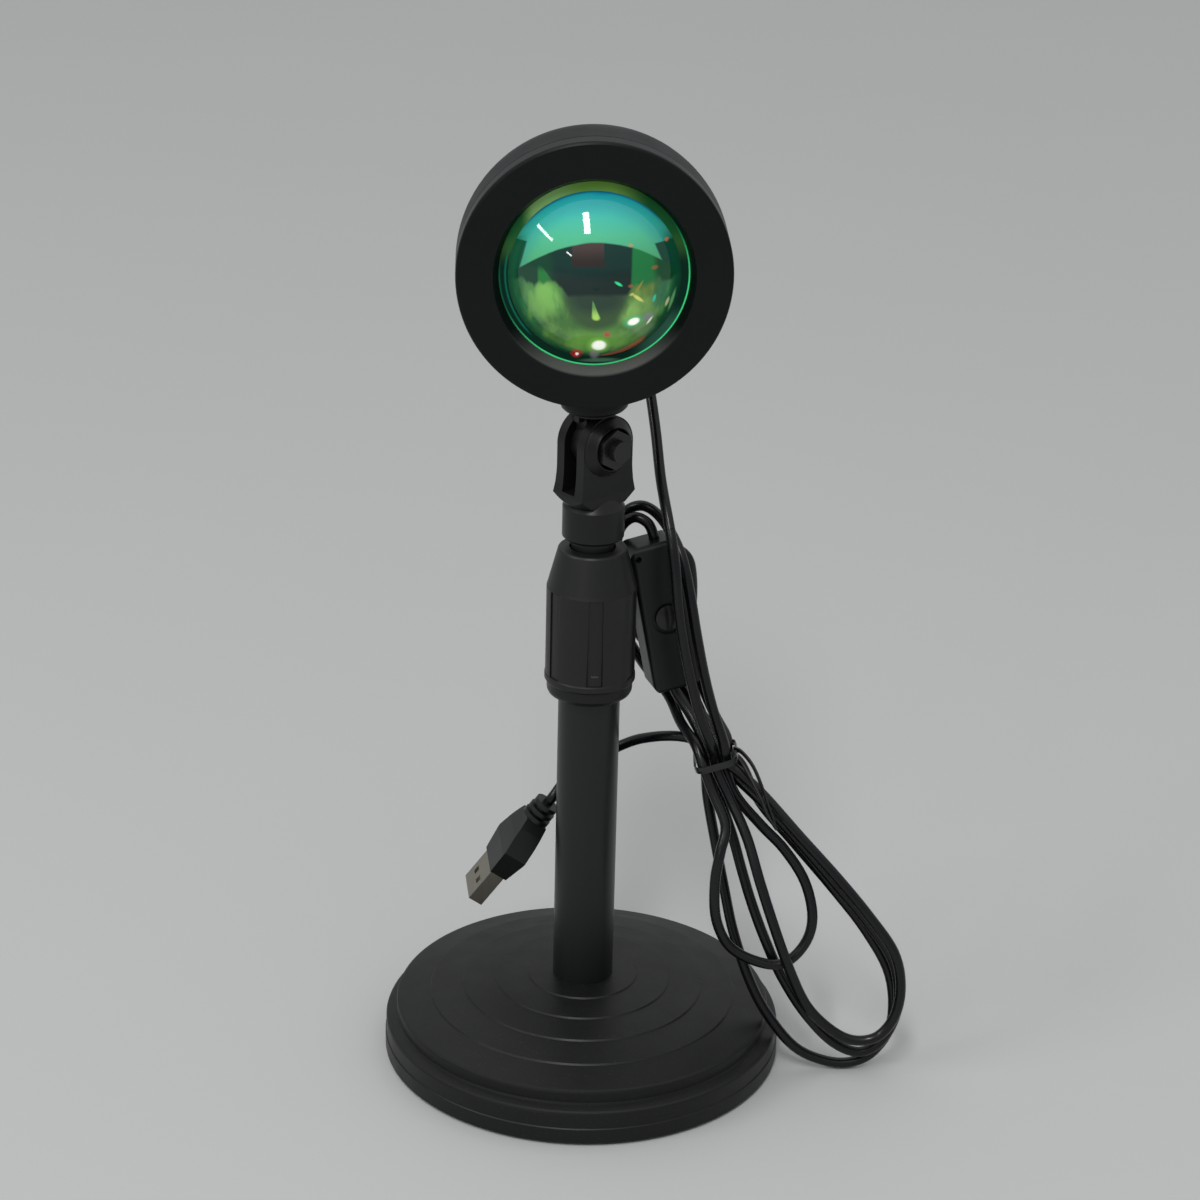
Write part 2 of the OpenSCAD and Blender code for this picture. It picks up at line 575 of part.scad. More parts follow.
module light_barrel() {
  color([0.12, 0.12, 0.12]) on_head() rotate_extrude($fn = smooth) polygon([
    [seat_r - 4.2, barrel_z], [seat_r - 0.4, barrel_z], [seat_r - 0.4, barrel_z + 1.4],
    [seat_r - 2.8, barrel_z + 1.4], [13.4, board_z], [12, board_z]]);
}
module led_board() {
  color([0.85, 0.85, 0.85]) on_head() translate([0, 0, board_z])
    cylinder(r = 14, h = sink_z - board_z, $fn = smooth);
}
module light_chip() {
  color([0.75, 0.55, 0.45]) on_head() translate([-3.5, -3.5, board_z - 1.2])
    cube([7, 7, 1.2]);
}
module heat_sink() {
  color([0.7, 0.7, 0.72]) on_head() {
    difference() {
      translate([0, 0, sink_z]) cylinder(r = 21, h = post_z - sink_z, $fn = smooth);
      for (i = [0:2]) rotate([0, 0, 30 + 120 * i]) translate([18, 0, board_z - 2])
        cylinder(r = 1.5, h = 12, $fn = fine);
    }
    for (x = [-10:4:10]) translate([x - 0.6, -9, post_z - 0.5]) cube([1.2, 18, 5.5]);
  }
}
module sink_screws() {
  color([0.75, 0.75, 0.75]) on_head() for (i = [0:2]) rotate([0, 0, 30 + 120 * i])
    translate([18, 0, 0]) {
      translate([0, 0, board_z]) cylinder(r = 2.4, h = sink_z - board_z, $fn = fine);
      translate([0, 0, sink_z]) cylinder(r = 1.25, h = 8, $fn = fine);
    }
}
module cord_gland() {
  color([0.08, 0.08, 0.08]) on_head() rotate_extrude($fn = fine) polygon([
    [cord_r + 0.02, rear_z - 2], [5, rear_z - 2], [5, rear_z], [3.2, rear_z],
    [3.2, head_d], [4.6, head_d], [4.6, head_d + 1.3], [3.4, head_d + 1.5],
    [2.5, head_d + 8], [cord_r + 0.02, head_d + 8]]);
}

// ---------- switch ----------
module switch_body() {
  soft_block(switch_w, switch_t, switch_l, 1.6, 3);
}
module switch_room() {
  translate([-switch_w / 2 + 1.6, -switch_t / 2 + 1.6, -switch_l / 2 + 1.6])
    cube([switch_w - 3.2, switch_t - 3.2, switch_l - 3.2]);
}
module facing() {
  rotate([90, 0, 0]) children();
}
module switch_cover() {
  color([0.15, 0.15, 0.15]) on_switch() difference() {
    union() {
      difference() {
        intersection() {
          switch_body();
          translate([-20, -20, -40]) cube([40, 22, 80]);
        }
        switch_room();
      }
      for (z = [-boss_z, boss_z]) translate([0, 0, z]) facing() translate([0, 0, -2])
        cylinder(r = 2.2, h = 6.2, $fn = fine);
    }
    for (z = [-boss_z, boss_z]) translate([0, 0, z]) facing() translate([0, 0, -5])
      cylinder(r = 1.2, h = 8, $fn = fine);
    translate([button_x, 0, 0]) facing() {
      cylinder(r = button_r + 0.15, h = 20, $fn = fine);
      translate([0, 0, switch_t / 2 - 0.8]) cylinder(r = 4.85, h = 5, $fn = fine);
    }
    translate([-5, 0, switch_l / 2 - 3]) facing() cylinder(r = 0.9, h = 20, $fn = fine);
    translate([1.7, 0, 19]) cylinder(r = cord_r + fit, h = 20, $fn = fine);
    translate([0, 0, -39]) cylinder(r = cord_r + fit, h = 20, $fn = fine);
  }
}
module switch_base() {
  color([0.15, 0.15, 0.15]) on_switch() difference() {
    intersection() {
      switch_body();
      translate([-20, 2, -40]) cube([40, 20, 80]);
    }
    switch_room();
    for (z = [-boss_z, boss_z]) translate([0, 0, z]) facing() translate([0, 0, -20]) {
      cylinder(r = 1.2, h = 20, $fn = fine);
      cylinder(r = 2.2, h = 15.2, $fn = fine);
    }
  }
}
module push_button() {
  color([0.05, 0.05, 0.05]) on_switch() translate([button_x, 0, 0]) facing() {
    intersection() {
      cylinder(r = button_r, h = switch_t / 2 + 0.7, $fn = fine);
      translate([0, 0, switch_t / 2 + 0.7 - 9]) sphere(r = 9, $fn = smooth);
      translate([0, 0, 3.4]) cylinder(r = 10, h = 10, $fn = fine);
    }
    translate([0, 0, 3.1]) cylinder(r = button_r + 0.6, h = 0.6, $fn = fine);
    translate([0, 0, 1.3]) cylinder(r = 1.5, h = 2, $fn = fine);
  }
}
module tact_switch() {
  color([0.2, 0.2, 0.2]) on_switch() translate([button_x - 3, -1.3 + button_travel, -3])
    cube([6, 1.5, 6]);
}
module switch_board() {
  color([0.15, 0.35, 0.2]) on_switch() difference() {
    translate([-5.3, 1, -19]) cube([10.6, 1, 39.4]);
    for (z = [-boss_z, boss_z]) translate([0, 0, z]) facing() translate([0, 0, -5])
      cylinder(r = 2.25, h = 10, $fn = fine);
  }
}
module ir_receiver() {
  color([0.08, 0.08, 0.08]) on_switch() translate([-5.3, -3.6, switch_l / 2 - 5.2])
    cube([2.9, 4.6, 3.3]);
}
module switch_screws() {
  color([0.6, 0.6, 0.6]) on_switch() for (z = [-boss_z, boss_z]) translate([0, 0, z])
    facing() translate([0, 0, -4.8]) {
      translate([0, 0, -0.6]) cylinder(r = 2, h = 0.6, $fn = fine);
      cylinder(r = 1.15, h = 6.8, $fn = fine);
    }
}

// ---------- cord ----------
module lead_upper() {
  color([0.1, 0.1, 0.1]) tube(route(FIRST_CORD, steps), cord_r, 8, 0, upper_end);
}
module lead_middle() {
  color([0.1, 0.1, 0.1]) tube(route(FIRST_CORD, steps), cord_r, 8, upper_end, middle_end);
}
module lead_lower() {
  color([0.1, 0.1, 0.1]) tube(route(FIRST_CORD, steps), cord_r, 8, middle_end, lower_end);
}
module cord_hank() {
  P = route(FIRST_CORD, steps);
  echo(hank_gap = least_gap([for (i = [lower_end:len(P) - 1]) P[i]], 9));
  color([0.1, 0.1, 0.1]) tube(P, cord_r, 6, lower_end, len(P) - 1);
}
module cord_hank_tail() {
  P = route(SECOND_CORD, steps);
  echo(hank_tail_gap = least_gap([for (i = [0:tail_end]) P[i]], 9));
  color([0.1, 0.1, 0.1]) tube(P, cord_r, 6, 0, tail_end);
}
module plug_lead() {
  P = route(SECOND_CORD, steps);
  color([0.1, 0.1, 0.1]) tube(P, cord_r, 8, tail_end, len(P) - 1);
}
module twist_tie() {
  color([0.12, 0.12, 0.12]) {
    translate(tie_at) rotate([0, -18, 0]) linear_extrude(2, center = true)
      difference() {
        soft_rect(13.4, 15.6, 3.5);
        soft_rect(11.4, 13.6, 2.5);
      }
    tube(route(TIE_TAIL, steps), 0.9, 6, 0, steps * (len(TIE_TAIL) - 1));
  }
}

// ---------- plug ----------
module plug_relief() {
  color([0.12, 0.12, 0.12]) on_plug() translate([0, 0, -6]) {
    cylinder(r = 2.6, h = 6, $fn = fine);
    cylinder(r = 4.2, h = 1.4, $fn = fine);
    translate([0, 0, 2.3]) cylinder(r = 4, h = 1.3, $fn = fine);
    translate([0, 0, 4.6]) cylinder(r = 3.7, h = 1.4, $fn = fine);
  }
}
module plug_body() {
  color([0.12, 0.12, 0.12]) on_plug() difference() {
    intersection() {
      rotate([90, 0, 0]) translate([0, 0, -10]) linear_extrude(20)
        polygon([[-3.8, -6], [3.8, -6], [5.2, -9], [8, -17], [6.6, -25], [-6.6, -25],
          [-8, -17], [-5.2, -9]]);
      rotate([90, 0, 90]) translate([0, 0, -10]) linear_extrude(20)
        polygon([[-3.4, -6], [3.4, -6], [3.7, -12], [3.6, -18], [2.8, -25], [-2.8, -25],
          [-3.6, -18], [-3.7, -12]]);
    }
    translate([-6, -2.25, -26]) cube([12, 4.5, 7]);
  }
}
module plug_shell() {
  color([0.75, 0.72, 0.62]) on_plug() translate([0, 0, -36]) difference() {
    translate([-6, -2.25, 0]) cube([12, 4.5, 17]);
    translate([-5.7, -1.95, -1]) cube([11.4, 3.9, 19]);
    for (x = [-2.5, 2.5]) translate([x - 1, -5, 4]) cube([2, 10, 2]);
  }
}
module plug_tongue() {
  color([0.9, 0.9, 0.88]) on_plug() translate([-5.7, 0, -35.4]) cube([11.4, 1.95, 16.4]);
}
module plug_contacts() {
  color([0.85, 0.7, 0.3]) on_plug() for (x = [-3.5, -1, 1, 3.5])
    translate([x - 0.5, -0.25, -34.6]) cube([1, 0.25, 8]);
}

// ---------- parts ----------
base_shell();
base_weight();
base_plate();
base_pad();
base_bolt();
bolt_washer();
tube_plug();
outer_tube();
clutch_body();
twist_grip();
inner_tube();
tube_bush();
mast_stud();
clevis();
pivot_bolt();
pivot_nut();
friction_washers();
knuckle();
stem_nut();
head_shell();
front_bezel();
lens();
lens_seal();
filter_disc();
light_barrel();
led_board();
light_chip();
heat_sink();
sink_screws();
cord_gland();
switch_cover();
switch_base();
push_button();
tact_switch();
switch_board();
ir_receiver();
switch_screws();
lead_upper();
lead_middle();
lead_lower();
cord_hank();
cord_hank_tail();
plug_lead();
twist_tie();
plug_relief();
plug_body();
plug_shell();
plug_tongue();
plug_contacts();
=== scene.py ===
"""Sunset projection lamp: finishes, cord, tie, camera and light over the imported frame.

Every length in a dataclass field is in millimetres unless its name says otherwise,
in the frame of the CAD model: +Z up, front is -Y, origin under the middle of the base.
"""

import logging
import math
from dataclasses import dataclass, field
from enum import Enum
from typing import Any, Dict, List, Optional, Sequence, Tuple, Union

import bmesh
import bpy
from mathutils import Matrix, Vector


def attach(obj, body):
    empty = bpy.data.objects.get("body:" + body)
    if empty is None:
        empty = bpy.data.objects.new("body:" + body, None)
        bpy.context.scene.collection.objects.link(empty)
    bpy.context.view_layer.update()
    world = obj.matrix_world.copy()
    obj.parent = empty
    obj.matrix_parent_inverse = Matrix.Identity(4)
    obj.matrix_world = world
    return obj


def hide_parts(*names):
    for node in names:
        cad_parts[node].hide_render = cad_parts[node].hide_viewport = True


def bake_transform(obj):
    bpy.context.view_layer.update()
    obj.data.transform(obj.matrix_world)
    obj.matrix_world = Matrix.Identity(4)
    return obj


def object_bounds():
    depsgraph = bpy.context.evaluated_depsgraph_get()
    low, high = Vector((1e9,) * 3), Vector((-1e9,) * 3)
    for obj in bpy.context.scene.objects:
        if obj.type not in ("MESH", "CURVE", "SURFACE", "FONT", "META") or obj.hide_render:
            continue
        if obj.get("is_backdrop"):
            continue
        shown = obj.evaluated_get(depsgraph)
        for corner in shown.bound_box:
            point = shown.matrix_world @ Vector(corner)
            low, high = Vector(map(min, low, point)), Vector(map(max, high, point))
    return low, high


LOG = logging.getLogger("lamp")
MM = 0.001
Point = Tuple[float, float, float]
Points = Tuple[Point, ...]
Colour = Tuple[float, float, float]
Pair = Tuple[float, float]
Piece = bpy.types.Object
Nodes = Dict[str, Piece]
Value = Union["Tap", float]


class Noise(Enum):
    """Cells a metre of the noise that draws each mark, from the finest to the broadest."""

    FINE = 2600.0
    SPECK = 2200.0
    PAINT = 1500.0
    MEDIUM = 900.0
    STREAK = 500.0
    DENT = 420.0
    POLISH = 300.0
    BLADE = 260.0
    FRINGE = 200.0
    DRIFT = 170.0
    SHEEN = 160.0
    SMEAR = 140.0
    BRUSH = 120.0
    JACKET = 90.0
    BROAD = 60.0
    FLOOR = 3.0


def srgb(red: float, green: float, blue: float) -> Colour:
    """Turns a colour read from a screen, 0 to 255, into linear light."""

    def linear(level: float) -> float:
        """Linear light of one channel."""
        part = level / 255.0
        return part / 12.92 if part <= 0.04045 else ((part + 0.055) / 1.055) ** 2.4

    return (linear(red), linear(green), linear(blue))


def metres(point: Sequence[float]) -> Vector:
    """A point in metres from one in millimetres."""
    return Vector(point) * MM


# ---- shader maths
class Tap:
    """A shader socket whose arithmetic adds Math nodes to its own tree."""

    def __init__(self, bench: "Bench", socket: bpy.types.NodeSocket) -> None:
        """Wraps a socket.

        Args:
            bench: The material that the socket belongs to.
            socket: The output socket that carries the value.
        """
        self.bench = bench
        self.socket = socket

    def _maths(self, operation: str, *values: Value) -> "Tap":
        """Adds one Math node.

        Args:
            operation: The Math node's operation.
            values: Its inputs, sockets or plain numbers.

        Returns:
            The node's output.
        """
        inputs = dict(enumerate(values))
        node = self.bench.node("ShaderNodeMath", {"operation": operation}, inputs)
        return Tap(self.bench, node.outputs[0])

    def __add__(self, other: Value) -> "Tap":
        """Sum."""
        return self._maths("ADD", self, other)

    __radd__ = __add__

    def __sub__(self, other: Value) -> "Tap":
        """Difference."""
        return self._maths("SUBTRACT", self, other)

    def __rsub__(self, other: Value) -> "Tap":
        """Difference from the left."""
        return self._maths("SUBTRACT", other, self)

    def __mul__(self, other: Value) -> "Tap":
        """Product."""
        return self._maths("MULTIPLY", self, other)

    __rmul__ = __mul__

    def __truediv__(self, other: Value) -> "Tap":
        """Quotient."""
        return self._maths("DIVIDE", self, other)

    def __rtruediv__(self, other: Value) -> "Tap":
        """Quotient from the left."""
        return self._maths("DIVIDE", other, self)

    def __abs__(self) -> "Tap":
        """Size without its sign."""
        return self._maths("ABSOLUTE", self)

    def root(self) -> "Tap":
        """Square root."""
        return self._maths("SQRT", self)

    def most(self, other: Value) -> "Tap":
        """The larger of two."""
        return self._maths("MAXIMUM", self, other)

    def rise(self, low: float, high: float) -> "Tap":
        """A soft step.

        Args:
            low: The value where the step is still 0.
            high: The value where it has reached 1; it may be below low.

        Returns:
            The step, from 0 to 1.
        """
        node = self.bench.node(
            "ShaderNodeMapRange",
            {"interpolation_type": "SMOOTHSTEP"},
            {"Value": self, "From Min": min(low, high), "From Max": max(low, high)},
        )
        step = Tap(self.bench, node.outputs[0])
        return step if high > low else 1 - step


class Bench:
    """One material, or the room's light, on the bench: its tree and its surface."""

    def __init__(self, name: str, world: Optional[bpy.types.World] = None) -> None:
        """Starts a material with a Principled surface, or works on a world.

        Args:
            name: The material's name.
            world: The world to work on instead.
        """
        self.material = world or bpy.data.materials.new(name)
        self.material.use_nodes = True
        self.tree = self.material.node_tree
        if world:
            self.surface = self.tree.nodes["Background"]
            return
        self.tree.nodes.clear()
        self.surface = self.node("ShaderNodeBsdfPrincipled")
        self.node("ShaderNodeOutputMaterial", None, {"Surface": self.surface.outputs[0]})

    def node(self, kind: str, settings: Optional[Dict[str, Any]] = None,
             inputs: Optional[Dict[Any, Any]] = None) -> bpy.types.Node:
        """Adds a node.

        Args:
            kind: The node's type.
            settings: Properties that are set first; "stops" fills a colour ramp.
            inputs: Values, taps or sockets by the input's name or index.

        Returns:
            The node.
        """
        made = self.tree.nodes.new(kind)
        for key, value in (settings or {}).items():
            if key == "stops":
                ramp = made.color_ramp
                while len(ramp.elements) < len(value):
                    ramp.elements.new(0.5)
                for element, (place, colour) in zip(ramp.elements, value):
                    element.position = place
                    element.color = (*colour, 1.0)
            else:
                setattr(made, key, value)
        for key, value in (inputs or {}).items():
            self.feed(made.inputs[key], value)
        return made

    def feed(self, socket: bpy.types.NodeSocket, value: Any) -> None:
        """Gives an input a link or a constant.

        Args:
            socket: The input.
            value: A tap, an output socket, a number or a tuple.
        """
        if isinstance(value, Tap):
            value = value.socket
        if isinstance(value, bpy.types.NodeSocket):
            self.tree.links.new(value, socket)
        elif isinstance(value, (tuple, list)) and len(value) == 3 and socket.type == "RGBA":
            socket.default_value = (*value, 1.0)
        else:
            socket.default_value = value

    def place(self) -> Tap:
        """The point on the piece, in metres."""
        return Tap(self, self.node("ShaderNodeTexCoord").outputs["Object"])

    def along(self, direction: Sequence[float], origin: Sequence[float] = (0, 0, 0)) -> Tap:
        """How far the point lies along a direction.

        Args:
            direction: A unit vector.
            origin: The zero point, in millimetres.

        Returns:
            The distance in millimetres.
        """
        inputs = {0: self.place(), 1: tuple(direction)}
        dot = self.node("ShaderNodeVectorMath", {"operation": "DOT_PRODUCT"}, inputs)
        shift = sum(a * b for a, b in zip(direction, origin))
        return Tap(self, dot.outputs["Value"]) * 1000.0 - shift

    def noise(self, scale: Noise, detail: float = 2.0, stretch: Point = (1, 1, 1)) -> Tap:
        """Smooth noise over the piece.

        Args:
            scale: How fine it is.
            detail: Octaves.
            stretch: A factor for each axis.

        Returns:
            The noise, about 0 to 1.
        """
        where: Any = self.place()
        if stretch != (1, 1, 1):
            where = self.node(
                "ShaderNodeVectorMath", {"operation": "MULTIPLY"}, {0: where, 1: stretch}
            ).outputs[0]
        inputs = {"Vector": where, "Scale": scale.value, "Detail": detail}
        node = self.node("ShaderNodeTexNoise", None, inputs)
        return Tap(self, node.outputs["Fac"])

    def blend(self, mask: Any, under: Any, over: Any) -> Any:
        """Lays one colour over another.

        Args:
            mask: 0 shows the lower colour, 1 the upper.
            under: The lower colour.
            over: The upper colour.

        Returns:
            The mixed colour's socket.
        """
        node = self.node("ShaderNodeMix", {"data_type": "RGBA"}, {"Factor": mask})
        self.feed(node.inputs[6], under)
        self.feed(node.inputs[7], over)
        return node.outputs[2]

    def bump(self, height: Tap, depth: float, strength: float = 1.0) -> None:
        """Feeds a height to the surface's normal.

        Args:
            height: The height, 0 to 1.
            depth: The depth of the relief in millimetres.
            strength: How much of it shows.
        """
        inputs = {"Height": height, "Distance": depth * MM, "Strength": strength}
        node = self.node("ShaderNodeBump", None, inputs)
        self.feed(self.surface.inputs["Normal"], node.outputs[0])

    def set(self, **values: Any) -> None:
        """Sets the surface's sockets; an underscore in a name stands for a space."""
        for name, value in values.items():
            self.feed(self.surface.inputs[name.replace("_", " ")], value)


# ---- finishes
@dataclass(frozen=True)
class Finish:
    """A finish: its name and colour, and how it sets up a surface on a bench."""

    name: str
    colour: Colour

    def tint(self, factor: float, lift: float = 0.0) -> Colour:
        """The finish's colour, scaled and lifted."""
        return tuple(c * factor + lift for c in self.colour)

    def material(self) -> bpy.types.Material:
        """Makes the material."""
        bench = Bench(self.name)
        self.paint(bench)
        return bench.material

    def paint(self, bench: Bench) -> None:
        """Sets up the surface.

        Args:
            bench: The material's bench.
        """
        raise NotImplementedError


@dataclass(frozen=True)
class Moulded(Finish):
    """Moulded plastic or rubber: colour with a faint cloud, and a fine grain."""

    roughness: float = 0.42
    spread: float = 0.08
    cloud: float = 0.18
    grain: Noise = Noise.FINE
    grain_depth: float = 0.006
    coat: float = 0.0
    dust: float = 0.0
    shine: float = 0.3

    def paint(self, bench: Bench) -> None:
        """Sets up the surface.

        Args:
            bench: The material's bench.
        """
        cloud = bench.noise(Noise.BROAD, 3.0)
        colour = bench.blend(cloud, self.tint(1 - self.cloud), self.tint(1 + self.cloud, 0.001))
        if self.dust:
            speck = bench.noise(Noise.SPECK, 0.0).rise(0.72, 0.80) * self.dust
            colour = bench.blend(speck, colour, (0.12, 0.12, 0.12))
        bench.set(
            Base_Color=colour,
            Roughness=self.roughness + (bench.noise(Noise.SMEAR) - 0.5) * (2 * self.spread),
            Coat_Weight=self.coat,
            Coat_Roughness=0.15,
            Specular_IOR_Level=self.shine,
        )
        bench.bump(bench.noise(self.grain), self.grain_depth, 0.6)


@dataclass(frozen=True)
class Turned(Finish):
    """Metal with fine turning or brushing marks round one axis."""

    roughness: float = 0.3
    stretch: Point = (1.0, 1.0, 40.0)
    depth: float = 0.004

    def paint(self, bench: Bench) -> None:
        """Sets up the surface.

        Args:
            bench: The material's bench.
        """
        marks = bench.noise(Noise.BRUSH, 3.0, self.stretch)
        bench.set(
            Base_Color=bench.blend(marks, self.tint(0.8), self.colour),
            Metallic=1.0,
            Roughness=self.roughness + (marks - 0.5) * 0.16,
        )
        bench.bump(marks, self.depth, 0.5)


@dataclass(frozen=True)
class PaintedTube(Finish):
    """A painted tube: even satin paint with faint streaks along its length."""

    roughness: float = 0.36

    def paint(self, bench: Bench) -> None:
        """Sets up the surface.

        Args:
            bench: The material's bench.
        """
        streak = bench.noise(Noise.STREAK, 2.0, (1.0, 1.0, 0.05))
        cloud = bench.noise(Noise.BROAD)
        light = self.tint(1.25, 0.001)
        bench.set(
            Base_Color=bench.blend(streak * 0.5 + cloud * 0.5, self.colour, light),
            Roughness=self.roughness + (cloud - 0.5) * 0.12,
            Specular_IOR_Level=0.36,
        )
        bench.bump(bench.noise(Noise.PAINT), 0.004, 0.5)


@dataclass(frozen=True)
class CordJacket(Finish):
    """The cord's smooth plastic jacket, with a faint bluish black."""

    roughness: float = 0.27

    def paint(self, bench: Bench) -> None:
        """Sets up the surface.

        Args:
            bench: The material's bench.
        """
        cloud = bench.noise(Noise.JACKET)
        bench.set(
            Base_Color=bench.blend(cloud, self.colour, self.tint(1.4, 0.0006)),
            Roughness=self.roughness + (bench.noise(Noise.BLADE) - 0.5) * 0.14,
            Specular_IOR_Level=0.34,
        )
        bench.bump(bench.noise(Noise.DENT), 0.02, 0.35)


@dataclass(frozen=True)
class Patch:
    """A soft oval of colour on the head's face: its place, half sizes, colour and edge."""

    u: float
    v: float
    half_u: float
    half_v: float
    colour: Colour
    amount: float = 1.0
    soft: float = 0.4
    tilt: float = 0.0

    def mask(self, face: "Face", drift: Tap) -> Tap:
        """Where the patch shows.

        Args:
            face: The head's face.
            drift: Noise that breaks the patch's edge.

        Returns:
            The mask, 0 to its amount.
        """
        c, s = math.cos(math.radians(self.tilt)), math.sin(math.radians(self.tilt))
        u, v = face.u - self.u, face.v - self.v
        across = (u * c + v * s) / self.half_u
        along = (v * c - u * s) / self.half_v
        away = (across * across + along * along).root() + drift * (self.soft * 0.35)
        return away.rise(1 + self.soft, 1 - self.soft) * self.amount


class Face:
    """The head's face on a bench: how far a point lies across, up and from its middle."""

    MIDDLE: Point = (-1.01, -22.03, 238.48)
    RIGHT: Point = (0.9983, 0.0431, 0.0375)
    UP: Point = (-0.0362, -0.0315, 0.99885)

    def __init__(self, bench: Bench) -> None:
        """Takes the places on the face.

        Args:
            bench: The material's bench.
        """
        self.bench = bench
        self.u = bench.along(self.RIGHT, self.MIDDLE)
        self.v = bench.along(self.UP, self.MIDDLE)
        self.radius = (self.u * self.u + self.v * self.v).root()

    def spread(self, colour: Any, patches: Sequence[Patch], drift: Tap) -> Any:
        """Lays patches over a colour.

        Args:
            colour: The colour below.
            patches: The patches, lowest first.
            drift: Noise that breaks their edges.

        Returns:
            The mixed colour.
        """
        for patch in patches:
            colour = self.bench.blend(patch.mask(self, drift), colour, patch.colour)
        return colour


@dataclass(frozen=True)
class LensReflectionPaint(Finish):
    """The lens: painted reflections of the room over a green tint, going from blue at its top edge,
    where the ceiling is reflected, to olive below, where the floor is reflected.
    """

    dome_r: float = 22.3
    line_r: float = 23.1
    rim_r: float = 24.4
    arch_top: float = 11.2
    arch_bend: float = 0.021
    coat: float = 0.75

    def paint(self, bench: Bench) -> None:
        """Sets up the surface.

        Args:
            bench: The material's bench.
        """
        face = Face(bench)
        drift = (bench.noise(Noise.DRIFT, 3.0) - 0.5) * 2.4
        # All the lens colours are painted light: painted reflections of the room, painted
        # highlights and painted shade. Here the painted reflection turns darker green towards the
        # sides.
        sides = (abs(face.u) + drift).rise(9.0, 19.0)
        colour = bench.blend(sides, self.colour, srgb(50, 108, 66))
        colour = face.spread(colour, self.floor_reflection(), drift)
        colour = self.reflection_streaks(face, colour)
        colour = face.spread(colour, self.bowl(), drift * 0.5)
        for layer in (self.painted_highlight_drop, self.reflection_band, self.ceiling_reflection):
            colour = layer(face, drift, colour)
        colour = self.border(face, colour)
        fine_drift = drift * 0.3
        colour = face.spread(colour, self.glints(), fine_drift)
        # The brightest painted glints also glow through emission.
        lights = [patch for patch in self.glints() if min(patch.colour) > 0.5]
        bench.set(
            Base_Color=colour,
            Emission_Color=face.spread((0.0, 0.0, 0.0), lights, fine_drift),
            Emission_Strength=0.5,
            Roughness=0.05 + (bench.noise(Noise.POLISH) - 0.5) * 0.03,
            Coat_Weight=face.radius.rise(self.dome_r + 0.3, self.dome_r - 0.1) * self.coat,
            Coat_Roughness=0.03,
            Specular_IOR_Level=0.05,
        )

    def reflection_streaks(self, face: Face, colour: Any) -> Any:
        """Breaks the painted floor reflection on the lower half with light and dark streaks that
        run down it.

        Args:
            face: The head's face.
            colour: The colour below.

        Returns:
            The mixed colour.
        """
        u, v, blend = face.u, face.v, face.bench.blend
        grain = face.bench.noise(Noise.BLADE, 3.0, (1.0, 1.0, 0.35))
        below = v.rise(1.0, -2.0) * (abs(u) + abs(v) * 0.3).rise(7.0, 10.0) * 0.4
        colour = blend(grain.rise(0.5, 0.66) * below, colour, srgb(140, 200, 96))
        return blend(grain.rise(0.48, 0.34) * below, colour, srgb(34, 86, 48))

    def painted_highlight_drop(self, face: Face, drift: Tap, colour: Any) -> Any:
        """A painted highlight: the small bright drop in the lower middle, thin above and round
        below.

        Args:
            face: The head's face.
            drift: Noise that breaks edges.
            colour: The colour below.

        Returns:
            The mixed colour.
        """
        u, v, blend = face.u, face.v, face.bench.blend
        down = v * -1.0 - 3.4
        away = abs(u + 0.9 - down * 0.16 + drift * 0.1) / (down.most(0.2) * 0.19 + 0.12)
        foot = (v * -1.0 - 8.2).most(0.0) * 0.85
        away = (away * away + foot * foot).root()
        drop = blend(v.rise(-5.0, -8.4), srgb(104, 160, 92), srgb(196, 250, 116))
        return blend(away.rise(1.2, 0.6) * v.rise(-3.2, -4.4), colour, drop)

    def reflection_band(self, face: Face, drift: Tap, colour: Any) -> Any:
        """The painted reflection of the room: a dark band across the middle, green at its sides,
        with the brown square.

        Args:
            face: The head's face.
            drift: Noise that breaks edges.
            colour: The colour below.

        Returns:
            The mixed colour.
        """
        u, v, blend = face.u, face.v, face.bench.blend
        dark = blend(v.rise(1.0, 6.0), srgb(10, 38, 34), srgb(14, 52, 46))
        left = (u + v * 0.15 + drift * 1.2).rise(-9.0, -11.5)
        dark = blend(left, dark, srgb(17, 66, 46))
        tip = (u + v * 0.75 + drift * 0.4).rise(-9.6, -10.2) * v.rise(5.4, 3.0)
        dark = blend(tip * (u + drift * 0.3).rise(-15.0, -14.4), dark, srgb(34, 122, 56))
        side = blend((u + drift * 0.5).rise(14.4, 16.6), srgb(26, 124, 64), srgb(12, 78, 44))
        dark = blend((u - v * 0.05 + drift * 0.25).rise(8.7, 9.4), dark, side)
        fringe = (face.bench.noise(Noise.FRINGE, 3.0, (1.0, 1.0, 0.4)) - 0.5) * 9.0
        away = abs(u - 0.4)
        edge = away.rise(7.2, 9.4) * 2.1 - 2.2 + fringe * away.rise(7.0, 12.0)
        band = self.arch(face, drift).rise(0.3, -0.1) * (v - edge + drift * 0.7).rise(-0.7, 0.7)
        colour = blend(v.rise(0.5, 2.5), colour, srgb(14, 72, 54))
        colour = blend(band, colour, dark)
        square = (abs(u + 1.8) + drift * 0.15).rise(4.3, 3.9)
        square = square * (abs(v - 8.3) + drift * 0.1).rise(3.2, 2.8)
        brown = blend(v.rise(6.0, 11.0), srgb(46, 40, 38), srgb(72, 60, 58))
        return blend(square, colour, brown)

    def arch(self, face: Face, drift: Tap) -> Tap:
        """How far a place lies above the dark band's arched upper edge."""
        return face.v + face.u * face.u * self.arch_bend - self.arch_top + drift * 0.2

